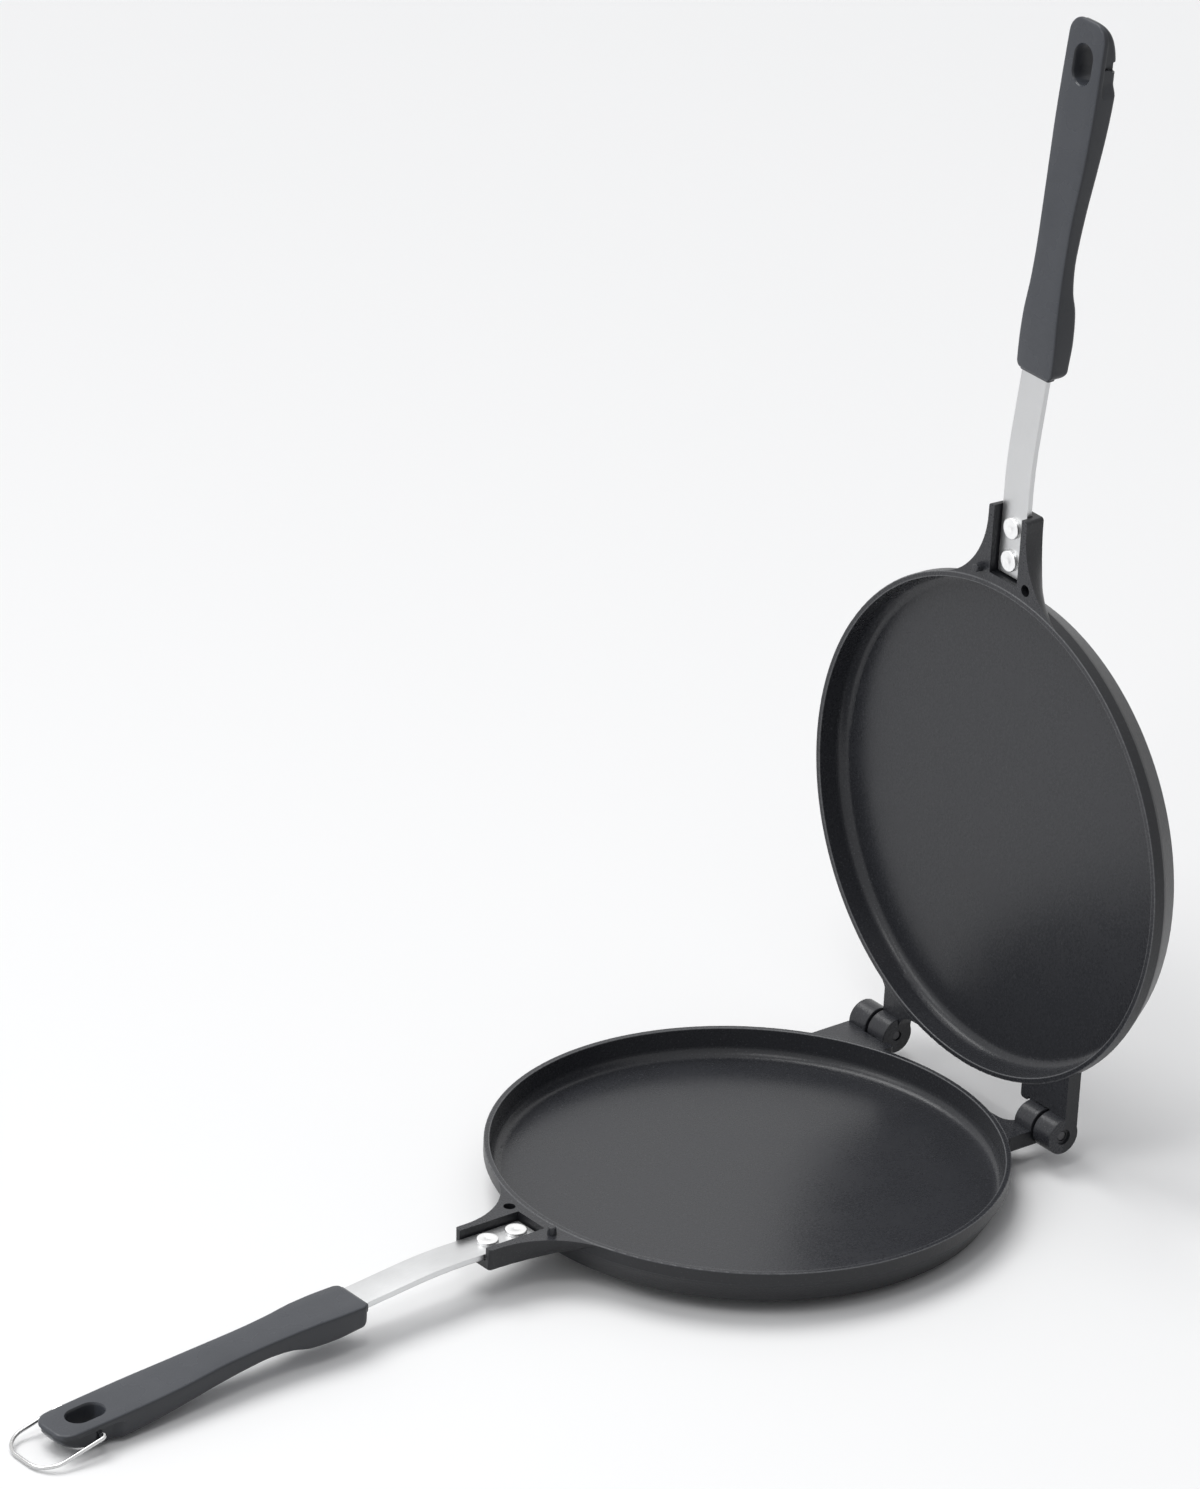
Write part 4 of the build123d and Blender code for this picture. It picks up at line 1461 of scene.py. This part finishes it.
@dataclass
class Studio:
    """Floor, surroundings, lamps and camera."""

    floor_half: float = 6.0
    floor_tone: Colour = (0.91, 0.91, 0.907, 1.0)
    seen_low: Colour = (0.80, 0.80, 0.80, 1.0)
    seen_high: Colour = (1.0, 1.0, 1.0, 1.0)
    fill_low: Colour = (0.16, 0.16, 0.165, 1.0)
    fill_high: Colour = (0.635, 0.64, 0.655, 1.0)
    sky_axis: Point = (-0.30, 0.45, 0.84)
    sky_span: Pair = (-0.25, 0.80)
    sun_aim: Point = (0.04, -0.46, -0.95)
    sun_strength: float = 1.36
    sun_spread: float = 36.0
    floor_shade_tone: Colour = (0.76, 0.76, 0.755, 1.0)
    dim_axis: Pair = (0.45, -0.90)
    dim_span: Pair = (-0.05, 1.5)
    focal_px: float = 11823.168
    centre_px: Pair = (599.763, 744.41)
    sensor_mm: float = 36.0
    far_end: float = 60.0
    azimuth: float = -39.275
    elevation: float = 25.944
    roll: float = 2.714
    pan_place_mm: Point = (-3191.994, -3778.698, 2632.748)

    def floor(self) -> None:
        """Plain pale floor at the height of the lowest point, darker on one side in painted shade."""
        half = self.floor_half
        low = CAD_BOX[0][2]
        corners = [(-half, -half, low), (half, -half, low), (half, half, low), (-half, half, low)]
        mesh = bpy.data.meshes.new("studio_floor")
        mesh.from_pydata(corners, [], [(0, 1, 2, 3)])
        floor = put("studio_floor", mesh)
        recipe = Recipe("studio_floor")
        x, y, _ = recipe.parts(recipe.place())
        # Painted shade: the floor darkens towards +x and -y.
        away = (x * self.dim_axis[0] + y * self.dim_axis[1]).between(*self.dim_span)
        tone = recipe.mix(away, self.floor_tone, self.floor_shade_tone)
        mesh.materials.append(recipe.close(recipe.add("ShaderNodeBsdfDiffuse", None, {"Color": tone})))

    def world(self) -> None:
        """Soft surroundings, paler on the key light's side and where they are seen."""
        world = bpy.data.worlds.new("studio_world")
        bpy.context.scene.world = world
        world.use_nodes = True
        graph = Graph(world.node_tree)
        graph.tree.nodes.clear()
        path = graph.add("ShaderNodeLightPath").socket.node
        kinds = ("Camera", "Glossy", "Transmission")
        rays = [Wire(graph, path.outputs[f"Is {kind} Ray"]) for kind in kinds]
        factor = rays[0].most(rays[1]).most(rays[2])
        x, y, z = graph.parts(graph.add("ShaderNodeTexCoord", out="Generated"))
        toward = x * self.sky_axis[0] + y * self.sky_axis[1] + z * self.sky_axis[2]
        rise = toward.between(*self.sky_span)
        tones = []
        for low, high in ((self.fill_low, self.fill_high), (self.seen_low, self.seen_high)):
            settings = {"data_type": "RGBA"}
            tone = graph.add("ShaderNodeMix", settings, {0: rise, 6: low, 7: high}, out=2)
            tones.append(graph.add("ShaderNodeBackground", None, {"Color": tone, "Strength": 1.0}))
        mixed = graph.add("ShaderNodeMixShader", None, {0: factor, 1: tones[0], 2: tones[1]})
        out = graph.tree.nodes.new("ShaderNodeOutputWorld")
        graph.tree.links.new(mixed.socket, out.inputs[0])

    def lamp(self, name: str, place: Point, aim: Point, size: float, power: float) -> None:
        """One square soft lamp.

        Args:
            name: the lamp's name.
            place: where it hangs, in metres.
            aim: the point it faces.
            size: side length in metres.
            power: power in watts.
        """
        data = bpy.data.lights.new(name, "AREA")
        data.shape = "SQUARE"
        data.size = size
        data.energy = power
        lamp = put(name, data)
        lamp.location = place
        direction = Vector(aim) - Vector(place)
        lamp.rotation_euler = direction.to_track_quat("-Z", "Y").to_euler()

    def sun(self) -> None:
        """Broad far key light from the back left."""
        data = bpy.data.lights.new("key_light", "SUN")
        data.energy = self.sun_strength
        data.angle = math.radians(self.sun_spread)
        lamp = put("key_light", data)
        lamp.rotation_euler = Vector(self.sun_aim).to_track_quat("-Z", "Y").to_euler()

    def camera(self, stance: Stance) -> None:
        """Camera at the photograph's viewing angle.

        Args:
            stance: the stance that leans the pan frame.
        """
        a, e, r = (math.radians(v) for v in (self.azimuth, self.elevation, self.roll))
        back = Vector((math.sin(a) * math.cos(e), -math.cos(a) * math.cos(e), math.sin(e)))
        side = Vector((math.cos(a), math.sin(a), 0.0))
        up = back.cross(side)
        right = side * math.cos(r) + up * math.sin(r)
        top = up * math.cos(r) - side * math.sin(r)
        lean = Matrix.Rotation(stance.lean, 4, "Y")
        turn = Matrix((right, top, back)).transposed().to_4x4()
        place = Matrix.Translation(Vector(self.pan_place_mm) * MM)
        data = bpy.data.cameras.new("studio_camera")
        data.sensor_fit = "AUTO"
        data.sensor_width = self.sensor_mm
        data.lens = self.focal_px / IMAGE_HEIGHT * data.sensor_width
        data.shift_x = (IMAGE_WIDTH / 2 - self.centre_px[0]) / IMAGE_HEIGHT
        data.shift_y = (self.centre_px[1] - IMAGE_HEIGHT / 2) / IMAGE_HEIGHT
        data.clip_end = self.far_end
        camera = put("studio_camera", data)
        camera.matrix_world = lean @ place @ turn
        bpy.context.scene.camera = camera

    def build(self, stance: Stance) -> None:
        """Make the whole studio.

        Args:
            stance: the stance that leans the pan frame.
        """
        self.floor()
        self.world()
        self.sun()
        self.lamp("side_lamp", place=(-1.6, 0.5, 1.5), aim=(0.1, 0.0, 0.2), size=0.9, power=7.0)
        self.lamp("gleam_lamp", place=(-0.72, -0.52, 1.80), aim=(0, 0, 0), size=0.42, power=3.6)
        self.camera(stance)
        LOG.info("studio ready")


def main() -> None:
    """Build the finishes, the pieces and the studio in order."""
    logging.basicConfig(level=logging.INFO, format="%(name)s: %(message)s")
    bpy.context.scene.view_settings.view_transform = "Standard"
    stance = Stance.read(frame["record"])
    turned, swept, bent = TurnedRow(), SweptStrap(), BentWire()
    rivet = PolishedFinish("rivet_metal", grey(0.97), grey(0.90), roughness=0.34).material()
    chrome = PolishedFinish("bail_wire", grey(0.70), grey(0.50), roughness=0.14).material()
    tone, shade = (0.10, 0.10, 0.105, 1.0), (0.06, 0.06, 0.063, 1.0)
    dark = PolishedFinish("pin_steel", tone, shade, roughness=0.38, metallic=0.6).material()
    zinc = PolishedFinish("screw_steel", grey(0.62), grey(0.48), roughness=0.35).material()
    # One steel in two tones: the lower tang's lighter tone and the upper tang's darker tone are painted
    # light and shade.
    steel = {Half.LOWER: (0.74, 0.745, 0.75, 1.0), Half.UPPER: (0.66, 0.665, 0.67, 1.0)}
    for half in Half:
        matrix = stance.matrix(half)
        Casting(half, matrix).build()
        tang = Tang(half, matrix)
        tang.strap(swept, BrushedFinish(f"tang_steel_{half.value}", matrix, steel[half]).material())
        tang.rivets(turned, rivet)
        Grip(half, matrix).build(zinc)
    HingePins(stance.matrix(Half.LOWER)).build(turned, dark)
    Bail(stance.matrix(Half.LOWER)).build(bent, chrome)
    Studio().build(stance)


if __name__ == "__main__":
    main()
